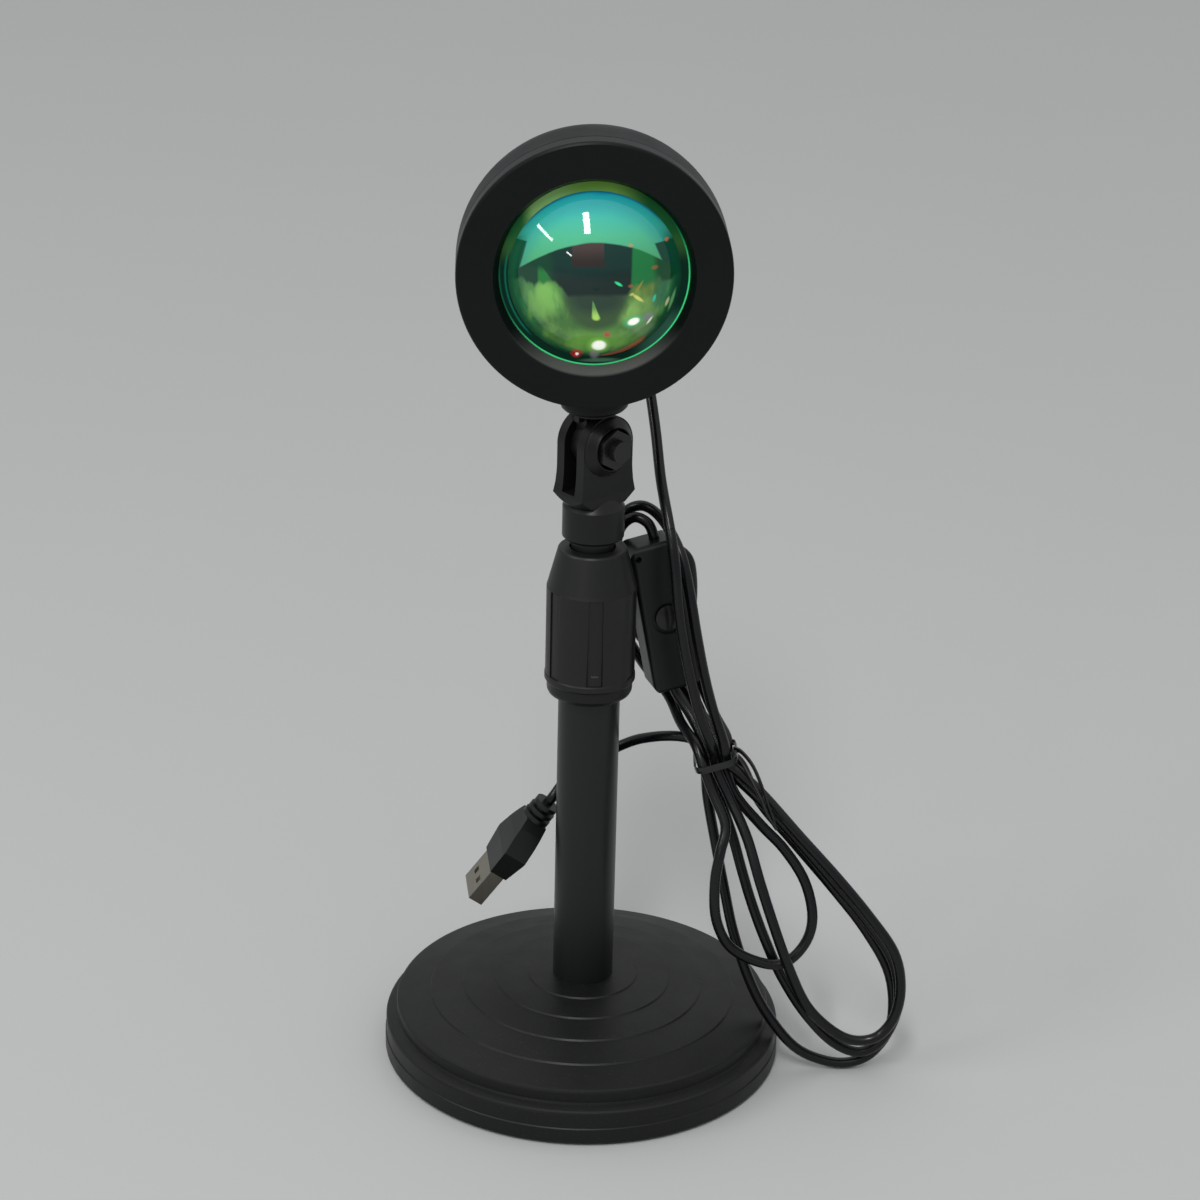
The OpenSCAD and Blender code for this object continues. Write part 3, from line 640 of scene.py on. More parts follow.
    def ceiling_reflection(self, face: Face, drift: Tap, colour: Any) -> Any:
        """The painted reflection of the ceiling on the upper part: pale, blue at its edge, with a
        notch left and right.

        Args:
            face: The head's face.
            drift: Noise that breaks edges.
            colour: The colour below.

        Returns:
            The mixed colour.
        """
        u, v, blend = face.u, face.v, face.bench.blend
        stops = [
            (0.0, srgb(84, 176, 122)), (0.35, srgb(80, 186, 144)), (0.62, srgb(62, 184, 164)),
            (0.94, srgb(38, 162, 172)), (1.0, srgb(16, 120, 164))]
        height = (v + drift * 0.6 + abs(u + 1.0) * 0.1 - 8.0) / 14.6
        pale = face.bench.node("ShaderNodeValToRGB", {"stops": stops}, {"Fac": height}).outputs[0]
        outer = (face.radius + drift * 0.5).rise(16.5, 20.5)
        pale = blend(outer * 0.5, pale, srgb(26, 150, 154))
        inside = (u - v * 0.3).rise(-20.6, -20.1).most(v.rise(10.0, 10.4))
        inside = inside * (u + v * 0.41).rise(19.5, 19.0).most(v.rise(9.2, 9.6))
        return blend(self.arch(face, drift).rise(-0.2, 0.3) * inside, colour, pale)

    def border(self, face: Face, colour: Any) -> Any:
        """The dome's dark edge of painted shade, a painted reflection arc low on the right, the
        flange round it in painted light and shade, and the painted highlight of its rim.

        Args:
            face: The head's face.
            colour: The colour below.

        Returns:
            The mixed colour.
        """
        u, v, radius, blend = face.u, face.v, face.radius, face.bench.blend
        shade = blend(u.rise(-6.0, -16.0), srgb(20, 84, 60), srgb(34, 100, 68))
        colour = blend(radius.rise(19.4, 21.6) * v.rise(13.0, 8.0) * 0.85, colour, shade)
        foot = radius.rise(self.dome_r - 0.5, self.dome_r)
        colour = blend(foot * v.rise(12.0, 17.0), colour, srgb(14, 112, 150))
        # Painted reflection: a salmon arc low on the right.
        arc = abs(radius + u * 0.12 - 22.6).rise(1.2, 0.4) * u.rise(0.0, 3.0) * u.rise(13.5, 11.5)
        colour = blend(arc * v.rise(-14.0, -17.0) * 0.85, colour, srgb(210, 108, 78))
        # The flange in painted light and shade: lighter and darker places and a thin lighter line.
        lip = blend(v.rise(2.0, 17.0), srgb(8, 46, 34), srgb(104, 150, 64))
        for mask, tint in (
            (u.rise(-2.0, -12.0) * v.rise(12.0, 18.0), srgb(134, 182, 108)),
            (u.rise(4.0, 15.0) * v.rise(3.0, 12.0), srgb(20, 80, 38)),
            (u.rise(-15.0, -19.0) * v.rise(4.0, 12.0), srgb(32, 96, 50)),
            (u.rise(8.0, 15.0) * v.rise(-8.0, -14.0), srgb(48, 92, 76))):
            lip = blend(mask, lip, tint)
        line = abs(radius - self.line_r).rise(0.4, 0.1) * u.rise(-16.0, -19.0)
        lip = blend(line * v.rise(10.0, 4.0) * 0.8, lip, srgb(12, 116, 92))
        colour = blend(radius.rise(self.dome_r - 0.05, self.dome_r + 0.15), colour, lip)
        # Painted highlight along the rim, brightest low on the right.
        rim = radius.rise(self.rim_r - 0.1, self.rim_r + 0.1) * (v + u * -0.25).rise(13.0, 5.0)
        rim_highlight = blend((v + u * -0.5).rise(4.0, -18.0), srgb(16, 96, 66), srgb(72, 244, 150))
        return blend(rim, colour, rim_highlight)

    def floor_reflection(self) -> List[Patch]:
        """The painted reflection of the floor: the lower half's lighter and darker places."""
        return [
            Patch(-12.2, -3.2, 3.2, 4.6, srgb(132, 198, 100), 0.9, 0.45, 24.0),
            Patch(-14.6, -6.4, 1.8, 3.8, srgb(130, 192, 98), 0.8, 0.5, 10.0),
            Patch(-17.2, -3.2, 1.6, 3.4, srgb(96, 158, 88), 0.7, 0.5, 5.0),
            Patch(11.2, -6.4, 4.2, 3.6, srgb(134, 184, 96), 0.85, 0.6, -30.0),
            Patch(11.6, -1.6, 3.4, 2.4, srgb(112, 134, 62), 0.8, 0.5),
            Patch(0.4, -16.6, 9.5, 4.4, srgb(126, 192, 86), 0.9, 0.6),
            Patch(-18.4, -9.0, 2.4, 5.4, srgb(58, 132, 84), 0.6, 0.6, 24.0),
            Patch(17.6, -5.0, 2.4, 5.0, srgb(48, 136, 88), 0.7, 0.5, -15.0),
            Patch(13.0, -14.0, 3.6, 2.6, srgb(124, 168, 120), 0.8, 0.5, -40.0),
            Patch(8.6, -8.0, 2.6, 2.8, srgb(156, 214, 112), 0.8, 0.6),
        ]

    def bowl(self) -> List[Patch]:
        """The olive shadow under the middle of the dark band."""
        return [
            Patch(0.0, -2.2, 8.0, 10.2, srgb(64, 96, 60), 0.92, 0.16),
            Patch(0.0, -2.6, 7.6, 4.8, srgb(38, 62, 54), 0.85, 0.45),
        ]

    def glints(self) -> List[Patch]:
        """Small reflections of the inner faces, each with its tinted border."""
        white = srgb(250, 255, 240)
        return [
            Patch(9.6, -10.6, 2.3, 1.6, srgb(96, 226, 150), 0.9, 0.5, 15.0),
            Patch(9.7, -10.6, 1.5, 1.05, white, 1.0, 0.3, 15.0),
            Patch(13.6, -10.0, 1.4, 1.2, srgb(150, 156, 168), 0.75, 0.5, -30.0),
            Patch(13.9, -11.2, 0.3, 1.2, srgb(224, 232, 204), 0.8, 0.5, -35.0),
            Patch(0.6, -17.6, 2.5, 2.5, srgb(160, 240, 104), 0.9, 0.5),
            Patch(0.7, -17.7, 1.8, 1.75, white, 1.0, 0.3),
            Patch(-0.4, -21.2, 1.2, 1.5, srgb(176, 168, 172), 0.75, 0.5),
            Patch(-5.0, -20.9, 1.4, 1.4, srgb(232, 44, 62), 0.95, 0.4),
            Patch(-4.9, -21.3, 0.45, 0.6, white, 1.0, 0.4),
            Patch(2.8, -13.9, 0.9, 0.75, srgb(226, 96, 84), 0.9, 0.5, -40.0),
            Patch(5.8, 0.7, 1.1, 0.35, srgb(50, 240, 150), 1.0, 0.4, -35.0),
            Patch(10.8, -3.8, 1.7, 0.42, srgb(240, 246, 130), 0.95, 0.5, -42.0),
            Patch(9.2, -2.5, 0.6, 0.35, srgb(224, 232, 120), 0.8, 0.5, 20.0),
            Patch(11.1, -0.8, 0.3, 1.6, srgb(176, 150, 60), 0.8, 0.5, -35.0),
            Patch(15.1, -4.7, 0.4, 1.0, srgb(60, 224, 190), 0.85, 0.4, -15.0),
            Patch(18.6, -6.8, 0.4, 1.2, srgb(240, 246, 176), 0.85, 0.5, -20.0),
            Patch(19.9, -6.8, 0.4, 2.8, srgb(140, 220, 150), 0.8, 0.5, -18.0),
            Patch(18.6, 9.6, 0.5, 0.5, srgb(214, 116, 62), 0.8, 0.4),
            Patch(15.3, 3.6, 0.8, 0.5, srgb(170, 104, 60), 0.6, 0.5),
            Patch(9.1, 10.0, 0.6, 0.4, srgb(220, 140, 90), 0.5, 0.5),
            Patch(8.9, -0.2, 0.6, 0.4, srgb(180, 100, 60), 0.7, 0.5),
            Patch(1.0, -23.4, 4.4, 0.5, srgb(120, 180, 144), 0.35, 0.6),
        ]


@dataclass(frozen=True)
class BezelRing(Finish):
    """The front ring: smooth black, with light on the lower wall of its opening."""

    opening_r: float = 27.2

    def paint(self, bench: Bench) -> None:
        """Sets up the surface.

        Args:
            bench: The material's bench.
        """
        face = Face(bench)
        wall = face.radius.rise(self.opening_r, self.opening_r - 1.0)
        wall = wall * (face.v + abs(face.u) * 0.3).rise(-6.0, -22.0)
        plastic = bench.blend(bench.noise(Noise.BROAD), self.colour, self.tint(1.25, 0.0005))
        bench.set(
            Base_Color=bench.blend(wall, plastic, srgb(84, 86, 83)),
            Roughness=0.34 + (bench.noise(Noise.SHEEN) - 0.5) * 0.08,
            Specular_IOR_Level=0.16,
        )
        bench.bump(bench.noise(Noise.FINE), 0.003, 0.5)


@dataclass(frozen=True)
class Panelled(Finish):
    """The twist grip: moulded plastic with a small dash in its front strip."""

    strip_turn: float = 6.6
    dash_z: float = 121.9
    dash_half: Pair = (1.0, 0.21)

    def paint(self, bench: Bench) -> None:
        """Sets up the surface.

        Args:
            bench: The material's bench.
        """
        turn = math.radians(270.0 + self.strip_turn)
        front = bench.along((math.cos(turn), math.sin(turn), 0.0))
        across = bench.along((-math.sin(turn), math.cos(turn), 0.0))
        height = bench.along((0.0, 0.0, 1.0), (0.0, 0.0, self.dash_z))
        half_x, half_z = self.dash_half
        dash = abs(across).rise(half_x + 0.1, half_x - 0.1) * front.rise(5.0, 6.0)
        dash = dash * abs(height).rise(half_z + 0.05, half_z - 0.05)
        plastic = bench.blend(bench.noise(Noise.BROAD, 3.0), self.colour, self.tint(1.2, 0.001))
        bench.set(
            Base_Color=bench.blend(dash * 0.8, plastic, srgb(72, 66, 78)),
            Roughness=0.42 + (bench.noise(Noise.SMEAR) - 0.5) * 0.12,
            Specular_IOR_Level=0.34,
        )
        bench.bump(bench.noise(Noise.FINE), 0.008, 0.6)


@dataclass
class Paintbox:
    """Every finish of the lamp, made once and handed out by name."""

    made: Dict[str, bpy.types.Material] = field(default_factory=dict)

    def fill(self) -> None:
        """Makes the finishes."""
        finishes = [
            Moulded("base_black", srgb(14, 15, 15), 0.43, cloud=0.12, dust=0.1, shine=0.26),
            Moulded("weight_iron", srgb(96, 96, 98), 0.7, grain=Noise.MEDIUM, grain_depth=0.1),
            Moulded("plate_black", srgb(24, 24, 24), 0.6),
            Moulded("pad_foam", srgb(20, 20, 20), 0.9, grain=Noise.MEDIUM, grain_depth=0.12),
            Turned("zinc_steel", (0.62, 0.62, 0.6), 0.32),
            Moulded("black_screw", srgb(20, 21, 20), 0.27, grain_depth=0.003, shine=0.45),
            PaintedTube("pole_black", srgb(15, 18, 17)),
            Moulded("joint_black", srgb(14, 15, 15), 0.38),
            Panelled("grip_black", srgb(18, 19, 18)),
            Moulded("bush_white", srgb(214, 210, 198), 0.5),
            Moulded("head_black", srgb(13, 14, 14), 0.42, cloud=0.1, shine=0.18),
            BezelRing("bezel_black", srgb(10, 13, 13)),
            LensReflectionPaint("lens_coating", srgb(78, 132, 66)),
            Moulded("filter_glass", srgb(210, 150, 80), 0.1),
            Moulded("seal_rubber", srgb(18, 18, 18), 0.7),
            Moulded("board_white", srgb(222, 222, 216), 0.45),
            Moulded("chip_tan", srgb(190, 150, 120), 0.4),
            Turned("sink_aluminium", (0.72, 0.72, 0.74), 0.38),
            Moulded("gland_rubber", srgb(20, 20, 20), 0.55),
            Moulded("switch_black", srgb(12, 14, 14), 0.36, cloud=0.1),
            Moulded("button_black", srgb(6, 7, 7), 0.3, spread=0.03, grain_depth=0.001, coat=0.25),
            Moulded("board_green", srgb(26, 92, 52), 0.4),
            CordJacket("cord_black", srgb(6, 7, 9)),
            Moulded("tie_black", srgb(15, 16, 16), 0.3, spread=0.04, grain_depth=0.004, coat=0.4),
            Moulded("plug_black", srgb(14, 15, 16), 0.4, coat=0.12),
            Turned("shell_steel", (0.36, 0.34, 0.28), 0.34, (40.0, 1.0, 1.0)),
            Moulded("tongue_white", srgb(214, 214, 206), 0.5),
            Turned("contact_gold", (0.85, 0.62, 0.25), 0.25),
        ]
        for finish in finishes:
            self.made[finish.name] = finish.material()
            LOG.info("finish %s", finish.name)

    def give(self, obj: Piece, name: str) -> None:
        """Puts one finish on every slot of a piece.

        Args:
            obj: The piece.
            name: The finish.
        """
        if not obj.data.materials:
            obj.data.materials.append(self.made[name])
        for index in range(len(obj.data.materials)):
            obj.data.materials[index] = self.made[name]
        for slot in obj.material_slots:
            slot.link = "DATA"


# ---- routes
@dataclass(frozen=True)
class Route:
    """A smooth line through points, as part.scad runs its own."""

    points: Points

    def between(self, i: int, t: float) -> Vector:
        """The line at part t of the way from point i to the next.

        Args:
            i: The first point's number.
            t: 0 to 1.

        Returns:
            The place, in millimetres.
        """
        p = [Vector(q) for q in self.points]
        b, c = p[i], p[i + 1]
        a = p[i - 1] if i > 0 else 2 * b - c
        d = p[i + 2] if i + 2 < len(p) else 2 * c - b
        square = (2 * a - 5 * b + 4 * c - d) * (t * t / 2)
        return b + (c - a) * (t / 2) + square + (3 * b - a - 3 * c + d) * (t**3 / 2)

    def sampled(self, steps: int) -> List[Vector]:
        """The line as a row of close places.

        Args:
            steps: The steps between two points.

        Returns:
            The places, in metres.
        """
        spans = range(len(self.points) - 1)
        line = [self.between(i, k / steps) for i in spans for k in range(steps)]
        return [q * MM for q in (*line, Vector(self.points[-1]))]


def line_length(line: Sequence[Vector]) -> float:
    """The length of a line of points."""
    return sum((b - a).length for a, b in zip(line, line[1:]))


def sweep(name: str, line: Sequence[Vector], section: Sequence[Pair],
          first_side: Point = (0.3, 1.0, 0.2), closed: bool = False) -> Piece:
    """Sweeps a section along a line.

    Args:
        name: The piece's name.
        line: The points, in metres.
        section: The section's corners across and beside the line, in metres.
        first_side: A direction that the section's first axis leans to.
        closed: Whether the line's end meets its start.

    Returns:
        The new object.
    """
    mesh = bmesh.new()
    rings = []
    side = Vector(first_side)
    count = len(line)
    for i, here in enumerate(line):
        if closed:
            ahead = line[(i + 1) % count] - line[i - 1]
        else:
            ahead = line[min(i + 1, count - 1)] - line[max(i - 1, 0)]
        ahead.normalize()
        side = (side - ahead * side.dot(ahead)).normalized()
        other = ahead.cross(side)
        rings.append([mesh.verts.new(here + side * a + other * b) for a, b in section])
    size = len(section)
    for i in range(count if closed else count - 1):
        low, high = rings[i], rings[(i + 1) % count]
        for k in range(size):
            mesh.faces.new((low[k], low[(k + 1) % size], high[(k + 1) % size], high[k]))
    if not closed:
        mesh.faces.new(list(reversed(rings[0])))
        mesh.faces.new(rings[-1])
    bmesh.ops.recalc_face_normals(mesh, faces=mesh.faces)
    return solid(name, mesh)


def put(name: str, data: bpy.types.ID) -> Piece:
    """Puts an object into the scene.

    Args:
        name: The object's name.
        data: Its mesh, camera or light.

    Returns:
        The object.
    """
    obj = bpy.data.objects.new(name, data)
    bpy.context.scene.collection.objects.link(obj)
    return obj


def solid(name: str, mesh: bmesh.types.BMesh, sharp: float = 40.0) -> Piece:
    """Turns a bmesh into a smooth shaded object.

    Args:
        name: The object's name.
        mesh: The mesh, which is freed.
        sharp: Edges that bend more than this many degrees stay sharp.

    Returns:
        The object.
    """
    data = bpy.data.meshes.new(name)
    for face in mesh.faces:
        face.smooth = True
    for edge in mesh.edges:
        if len(edge.link_faces) == 2 and edge.calc_face_angle(0) > math.radians(sharp):
            edge.smooth = False
    mesh.to_mesh(data)
    mesh.free()
    return put(name, data)


def round_section(radius: float, sides: int) -> List[Pair]:
    """A circle's corners."""
    turns = [math.tau * k / sides for k in range(sides)]
    return [(radius * math.cos(a), radius * math.sin(a)) for a in turns]


# ---- assemblies
@dataclass
class Studio:
    """The camera at the photograph's angle, a pale floor and soft light."""

    eye: Point = (1.900, -772.536, 456.924)
    right: Point = (0.99969236, 0.00889184, 0.02315433)
    up: Point = (-0.0247966, 0.37946926, 0.924872)
    ahead: Point = (0.000562546, 0.925161616, -0.379573008)
    focal_pixels: float = 3019.311
    frame_pixels: float = 1200.0
    floor_colour: Colour = srgb(181, 182, 182)
    level: float = 0.4
    overhead: float = 0.5
    rows: Tuple[Tuple[str, Tuple[Point, Point], float, float], ...] = (
        ("row_near", ((-0.18, -0.7, 1.44), (-0.18, -1.36, 1.44)), 0.18, 11.0),
        ("row_left", ((-2.0, -0.4, 1.44), (-2.0, -1.66, 1.44)), 0.12, 11.0),
        ("row_far", ((-2.0, -3.9, 1.44), (-2.0, -4.5, 1.44)), 0.12, 6.0),
    )

    def camera(self) -> None:
        """Sets the camera where the photographer stood."""
        data = bpy.data.cameras.new("camera")
        data.sensor_width = 36.0
        data.lens = self.focal_pixels / self.frame_pixels * data.sensor_width
        data.clip_start, data.clip_end = 0.01, 50.0
        camera = put("camera", data)
        back = [-a for a in self.ahead]
        turn = Matrix((self.right, self.up, back)).transposed().to_4x4()
        camera.matrix_world = Matrix.Translation(metres(self.eye)) @ turn
        bpy.context.scene.camera = camera
        LOG.info("camera lens %.1f mm", data.lens)

    def floor(self) -> None:
        """Lays the floor."""
        mesh = bmesh.new()
        bmesh.ops.create_circle(mesh, cap_ends=True, radius=12.0, segments=64)
        floor = solid("floor", mesh)
        bench = Bench("floor")
        cloud = bench.noise(Noise.FLOOR)
        dark = tuple(c * 0.96 for c in self.floor_colour)
        bench.set(Base_Color=bench.blend(cloud, dark, self.floor_colour), Roughness=0.7)
        floor.data.materials.append(bench.material)
        floor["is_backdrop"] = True

    def strip(self, name: str, ends: Tuple[Point, Point], width: float, watts: float) -> None:
        """Hangs a lamp between two points.

        Args:
            name: The lamp's name.
            ends: Its two ends, in metres.
            width: Its width, in metres.
            watts: Its power.
        """
        start, end = Vector(ends[0]), Vector(ends[1])
        data = bpy.data.lights.new(name, "AREA")
        data.shape = "RECTANGLE"
        data.size, data.size_y = width, (end - start).length
        data.energy = watts
        lamp = put(name, data)
        middle = (start + end) / 2
        aim = (Vector((0, 0, 0.15)) - middle).normalized()
        along = (end - start).normalized()
        along = (along - aim * along.dot(aim)).normalized()
        turn = Matrix((along.cross(-aim), along, -aim)).transposed().to_4x4()
        lamp.matrix_world = Matrix.Translation(middle) @ turn

    def light(self) -> None:
        """Lights the lamp from a pale room and rows of ceiling lamps."""
        world = bpy.data.worlds.new("room")
        bpy.context.scene.world = world
        bench = Bench("room", world)
        around = bench.node("ShaderNodeTexCoord").outputs["Generated"]
        height = bench.node("ShaderNodeSeparateXYZ", None, {0: around}).outputs["Z"]
        overhead = Tap(bench, height).rise(0.15, 1.0)
        bench.set(
            Color=bench.blend(overhead, (0.93, 0.95, 0.985), (1.0, 0.995, 0.985)),
            Strength=overhead * self.overhead + self.level,
        )
        for name, ends, width, watts in self.rows:
            self.strip(name, ends, width, watts)
        bpy.context.scene.view_settings.view_transform = "Standard"


@dataclass
class Carried:
    """The solids that keep their CAD shape, by the finish that they have."""

    pieces: Dict[str, str] = field(
        default_factory=lambda: {
            "base_black": "base_shell", "weight_iron": "base_weight",
            "plate_black": "base_plate", "pad_foam": "base_pad",
            "zinc_steel": "base_bolt bolt_washer tube_plug mast_stud "
            "stem_nut sink_screws switch_screws",
            "pole_black": "outer_tube inner_tube",
            "joint_black": "clutch_body clevis knuckle tact_switch", "grip_black": "twist_grip",
            "bush_white": "tube_bush", "black_screw": "pivot_bolt pivot_nut friction_washers",
            "head_black": "head_shell light_barrel", "bezel_black": "front_bezel",
            "lens_coating": "lens", "seal_rubber": "lens_seal", "filter_glass": "filter_disc",
            "board_white": "led_board", "chip_tan": "light_chip", "sink_aluminium": "heat_sink",
            "gland_rubber": "cord_gland", "switch_black": "switch_cover switch_base",
            "button_black": "push_button ir_receiver", "board_green": "switch_board",
            "plug_black": "plug_relief plug_body", "shell_steel": "plug_shell",
            "tongue_white": "plug_tongue", "contact_gold": "plug_contacts",
        }
    )

    def dress(self, nodes: Nodes, paints: Paintbox) -> None:
        """Gives each carried solid its finish.

        Args:
            nodes: The frame's nodes by name.
            paints: The finishes.
        """
        for finish, names in self.pieces.items():
            for name in names.split():
                paints.give(nodes[name], finish)
                LOG.info("node %s in %s", name, finish)


@dataclass
class Cord:
    """The cord from the head to the plug, tied up in a hank beside the pole."""

    diameter: float = 3.0
    sides: int = 16
    lead_upper: Points = (
        (-3, 23.8, 239.85), (-3.2, 28.5, 240.05), (-2.6, 36, 236), (0.5, 40.5, 227.5),
        (4.5, 40.8, 219), (8, 39.5, 211))
    lead_middle: Points = (
        (8, 39.5, 211), (11.2, 36.6, 202.5), (14.3, 31.5, 193.5),
        (16.6, 22.5, 182.5), (18.4, 12, 171.3), (21.1, 2, 160.4))
    lead_lower: Points = (
        (21.1, 2, 160.4), (22.8, -1.5, 151), (24, -3, 140), (25.8, -3.5, 129),
        (28.5, -3.8, 117), (31.3, -4, 107), (34, -3.2, 99.5), (35.4, -1.6, 95),
        (36, -1.5, 92))
    # one row per place round the big loop: front turn, middle turn, back turn
    lobe: Tuple[Tuple[Point, Point, Point], ...] = (
        ((36, -1.5, 92), (34.3, 2, 92), (32.9, 5.6, 90)),
        ((36.8, -1.8, 89), (35.2, 1.6, 88), (33.6, 5.3, 87)),
        ((40.5, -4.5, 82), (38, 0, 79.5), (34.5, 5, 78)),
        ((45.5, -9.5, 72.5), (41.7, -3.5, 70), (37, 1.5, 66)),
        ((49.5, -14.5, 61), (44.5, -6, 61), (40, -3, 53)),
        ((54, -18, 48.5), (47.5, -8.5, 52), (43, -7, 41)),
        ((58.5, -19, 36.5), (51.5, -11, 42), (48, -10.5, 27.5)),
        ((64, -18.7, 24.5), (57, -12.3, 30), (53.5, -12.5, 17.5)),
        ((71, -18, 16.5), (64.5, -13.8, 18.5), (61.5, -13, 7.5)),
        ((78, -17.5, 12.5), (73, -14, 9.5), (70, -12.5, 2.8)),
        ((85, -17, 13.5), (81, -13.7, 6.5), (78, -12, 1.9)),
        ((89.7, -16.5, 20), (87.5, -13, 11), (85, -10.5, 5)),
        ((91, -15.8, 29.5), (91, -12, 21.5), (89.8, -9, 14)),
        ((88.5, -15, 40), (89, -11, 34.5), (88.5, -7.5, 28.5)),
        ((81, -13.5, 50.5), (81, -9.5, 46.5), (81, -6, 42)),
        ((71.5, -11.5, 61.5), (71, -7.5, 58), (70.5, -4, 55)),
        ((60.5, -9, 73), (60, -5, 70), (59.5, -1, 67)),
        ((50.5, -5, 83), (50, -1.2, 79.5), (49.5, 3.2, 77.5)),
        ((43.5, -2.5, 89), (41.8, 3.1, 85.8), (44, 8, 86.8)))
    arch_front: Points = (
        (39.6, -1.5, 92), (38.3, -1.2, 97.5), (34.7, -0.4, 108), (31.8, -0.3, 119),
        (29.3, 0, 131), (27.2, 1, 142), (24.6, 4.2, 151.8), (21, 9.4, 157.8),
        (17.2, 13.4, 161.2), (13.2, 15.3, 162.4), (9.2, 16.8, 160.2), (6.3, 18.8, 154.5),
        (4.9, 21, 146), (5.5, 23.5, 133), (9.5, 24, 121), (15.5, 21.5, 111.5),
        (22.5, 16.5, 104.5), (26.2, 9.4, 99.2), (30.2, 2, 96))
    small_loop: Points = (
        (32.2, -1.7, 92), (35.4, -4.7, 84.5), (39.3, -9, 76), (38, -12.5, 69),
        (36.8, -14, 60.5), (37.5, -15, 49.5), (41.5, -15.3, 41), (49, -15.5, 36.5),
        (57, -15, 35.5), (63, -13.5, 41), (65, -12, 49), (62.5, -9.5, 59),
        (56.5, -6.5, 67.5), (49.5, -4, 74), (42, -1, 82), (37.8, 2, 92))
    arch_switch: Points = (
        (35.5, 5.8, 98), (30, 12.5, 103.5), (24.5, 18.8, 108.5), (17, 19.5, 117.5),
        (9.5, 18.7, 129), (6.8, 17, 142), (6.7, 15.5, 151.5), (8.2, 14.1, 157),
        (11.5, 12.9, 159.8), (15, 12, 158.6), (16.7, 11.7, 155.4), (17.3, 11.7, 152.4))
    switch_tail: Points = (
        (23.5, 11.8, 112), (24.3, 11.9, 108), (28.6, 9, 102.2), (32, 4.6, 97.4))
    arch_back: Points = (
        (36, 5.5, 92), (35, 9.5, 95), (31.5, 17, 100.5), (27, 22.5, 108),
        (22, 24.5, 117), (17.9, 24.3, 129), (16.9, 23.6, 138), (18.4, 23.4, 143.6),
        (22.7, 23.5, 146.6), (27, 24, 143.6), (28.5, 25, 136), (28.7, 26, 126),
        (29.5, 26, 115), (32, 22.5, 106), (36, 14.5, 99.5), (39.3, 8.5, 95.5), (40, 6, 92))
    plug_lead: Points = (
        (32.9, 5.6, 90), (32, 6.3, 93), (29.5, 7.8, 94.7), (26, 9, 94.9),
        (22.5, 10.4, 94.3), (18.5, 12.3, 93), (13.5, 15.2, 90.5), (8, 16.8, 87.2),
        (2.5, 16.6, 84), (-2.8, 15.2, 80.9), (-7, 13.4, 77), (-9.4, 12.1, 73.9),
        (-11.2, 12, 71.4))

    def turn(self, which: int) -> Points:
        """One turn of the big loop."""
        return tuple(row[which] for row in self.lobe)

    def runs(self) -> Dict[str, List[Vector]]:
        """Lays out every piece of the cord.

        Returns:
            Each piece's line in metres, by the node that it replaces.
        """
        steps = 6
        first = self.lead_upper + self.lead_middle[1:] + self.lead_lower[1:]
        ends = [(len(self.lead_upper) - 1) * steps]
        ends.append(ends[0] + (len(self.lead_middle) - 1) * steps)
        ends.append((len(first) - 1) * steps)
        hank = self.turn(0)[1:] + self.arch_front + self.small_loop + self.arch_switch
        one = Route(first + hank).sampled(steps)
        tail = self.switch_tail + self.turn(1) + self.arch_back + self.turn(2)[::-1]
        two = Route(tail + self.plug_lead[1:]).sampled(steps)
        last = (len(tail) - 1) * steps
        return {
            "lead_upper": one[: ends[0] + 1],
            "lead_middle": one[ends[0] : ends[1] + 1],
            "lead_lower": one[ends[1] : ends[2] + 1],
            "cord_hank": one[ends[2] :],
            "cord_hank_tail": two[: last + 1],
            "plug_lead": two[last:],
        }

    def build(self, nodes: Nodes, paints: Paintbox) -> None:
        """Lays the cord in six pieces.

        Args:
            nodes: The frame's nodes by name.
            paints: The finishes.
        """
        for name, line in self.runs().items():
            piece = sweep(f"{name}_jacket", line, round_section(self.diameter / 2 * MM, self.sides))
            paints.give(piece, "cord_black")
            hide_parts(name)
            if name == "lead_upper":
                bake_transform(piece)
            elif name == "lead_middle":
                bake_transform(piece)
            else:
                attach(piece, "clevis_with_cord")
            line_length(line)
            "plug" if name == "plug_lead" else "object"
            LOG.info("cord %s, %.0f mm", name, line_length(line) / MM)


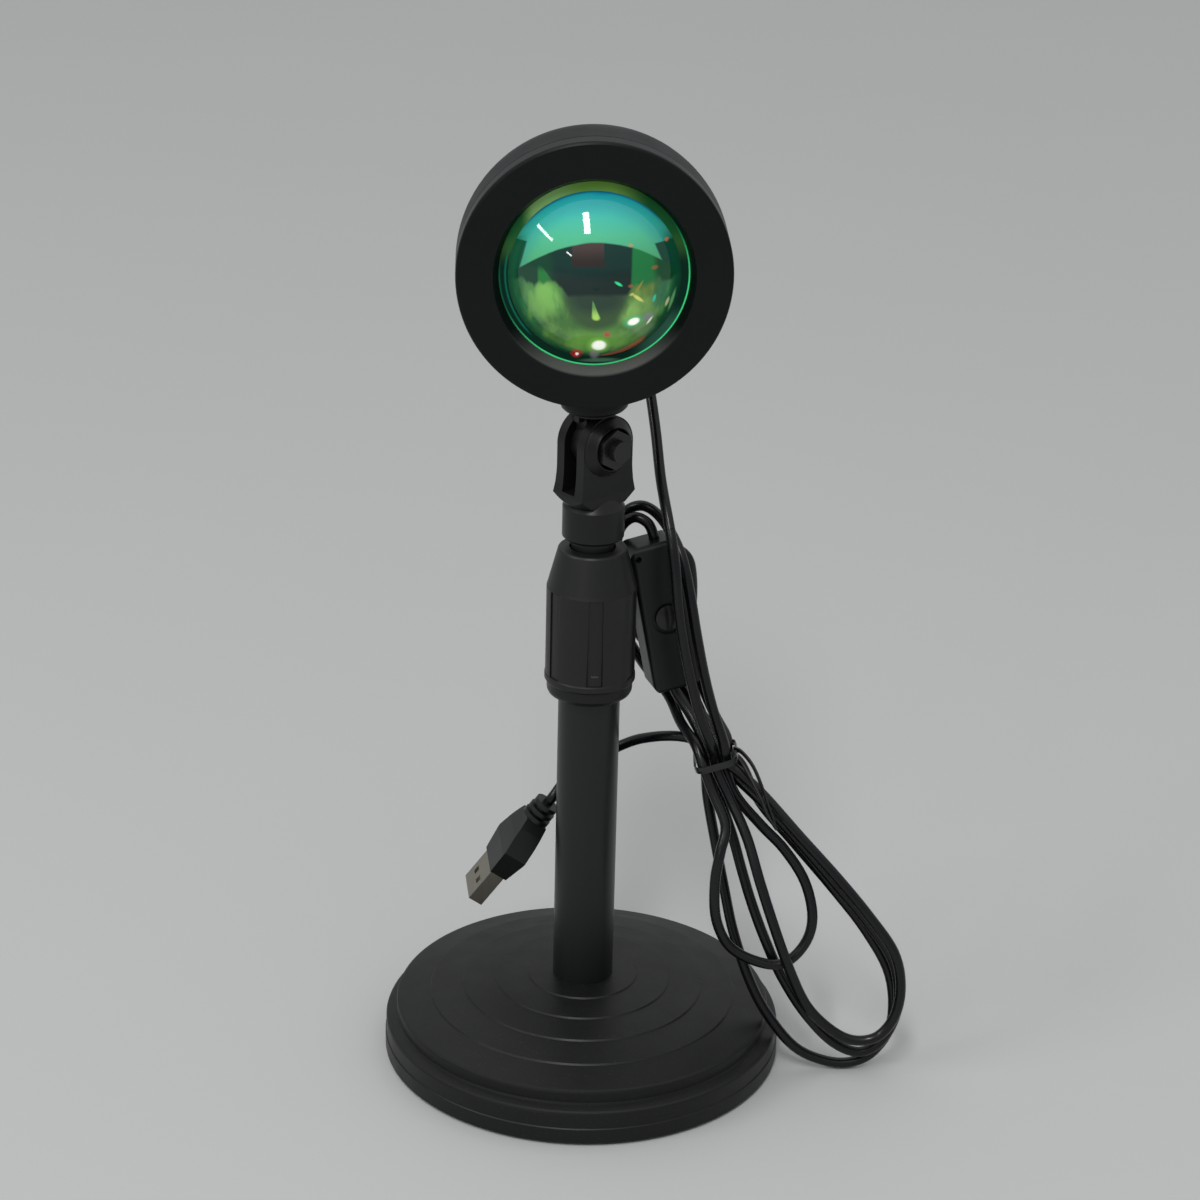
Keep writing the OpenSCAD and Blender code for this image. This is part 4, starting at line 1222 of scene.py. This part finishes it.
@dataclass
class Tie:
    """The twist tie: a flat band round the strands and its two ends."""

    middle: Point = (36.25, 2.4, 92.0)
    lean: float = -18.0
    size: Pair = (12.8, 15.0)
    corner: float = 3.3
    width: float = 2.0
    thick: float = 0.5
    end_size: Pair = (1.5, 0.8)
    corner_steps: int = 8
    ends: Tuple[Points, ...] = (
        ((41.4, 2.6, 94.4), (43.4, -0.6, 94.9), (46.4, -4.2, 92.6), (48.9, -7, 88),
         (50.9, -9.4, 82.8), (53.0, -11.2, 77.6)),
        ((42.2, 0.2, 93.0), (44.0, -3.0, 91.6), (46.4, -6.0, 88.2), (48.9, -8.6, 84.2),
         (51.0, -10.6, 80.0), (53.6, -11.9, 76.4)))

    def lying(self) -> Matrix:
        """How the tie leans."""
        return Matrix.Rotation(math.radians(self.lean), 3, "Y")

    def band_line(self) -> List[Vector]:
        """Lays the band round the strands.

        Returns:
            The places of its middle line, in metres.
        """
        half_x, half_y = ((side - self.thick) / 2 for side in self.size)
        r = self.corner - self.thick / 2
        line = []
        for centre_x, centre_y, first in (
            (half_x - r, half_y - r, 0), (r - half_x, half_y - r, 90),
            (r - half_x, r - half_y, 180), (half_x - r, r - half_y, 270)):
            for k in range(self.corner_steps + 1):
                a = math.radians(first + 90 * k / self.corner_steps)
                line.append(Vector((centre_x + r * math.cos(a), centre_y + r * math.sin(a), 0)))
        return [(self.lying() @ q + Vector(self.middle)) * MM for q in line]

    def ribbon(self, width: float, thick: float) -> List[Pair]:
        """A flat section with a wire's ridge along its middle.

        Args:
            width: Its width, in millimetres.
            thick: Its thickness at the wire, in millimetres.

        Returns:
            Its corners, in metres.
        """
        w, t = width / 2 * MM, thick / 2 * MM
        return [(-w, -t * 0.6), (-w * 0.35, -t * 0.6), (0, -t), (w * 0.35, -t * 0.6), (w, -t * 0.6),
                (w, t * 0.6), (w * 0.35, t * 0.6), (0, t), (-w * 0.35, t * 0.6), (-w, t * 0.6)]

    def build(self, paints: Paintbox) -> None:
        """Makes the band and its two ends.

        Args:
            paints: The finishes.
        """
        axis = tuple(self.lying() @ Vector((0, 0, 1)))
        band = sweep("tie_band", self.band_line(), self.ribbon(self.width, self.thick),
                     axis, closed=True)
        tails = [
            sweep(f"tie_end_{k}", Route(end).sampled(8), self.ribbon(*self.end_size), axis)
            for k, end in enumerate(self.ends, 1)]
        for piece in (band, *tails):
            paints.give(piece, "tie_black")
            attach(piece, "clevis_with_cord")
            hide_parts("twist_tie")
            LOG.info("piece %s", piece.name)


def main(frame: Dict[str, Any], cad_box: Tuple[Vector, Vector]) -> None:
    """Builds the scene over the frame.

    Args:
        cad_box: The CAD model's lowest and highest corner; not used.
    """
    nodes = frame["nodes"]
    paints = Paintbox()
    paints.fill()
    studio = Studio()
    studio.camera()
    Cord().build(nodes, paints)
    Carried().dress(nodes, paints)
    Tie().build(paints)
    studio.floor()
    studio.light()


logging.basicConfig(level=logging.INFO, format="%(name)s %(message)s")
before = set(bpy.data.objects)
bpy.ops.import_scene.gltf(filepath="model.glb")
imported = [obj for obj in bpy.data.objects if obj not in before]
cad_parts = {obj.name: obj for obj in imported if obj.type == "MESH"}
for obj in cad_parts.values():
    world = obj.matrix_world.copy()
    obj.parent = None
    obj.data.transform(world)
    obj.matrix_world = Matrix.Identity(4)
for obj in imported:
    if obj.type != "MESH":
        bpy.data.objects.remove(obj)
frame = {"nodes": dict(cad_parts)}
if __name__ == "__main__":
    main(frame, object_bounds())
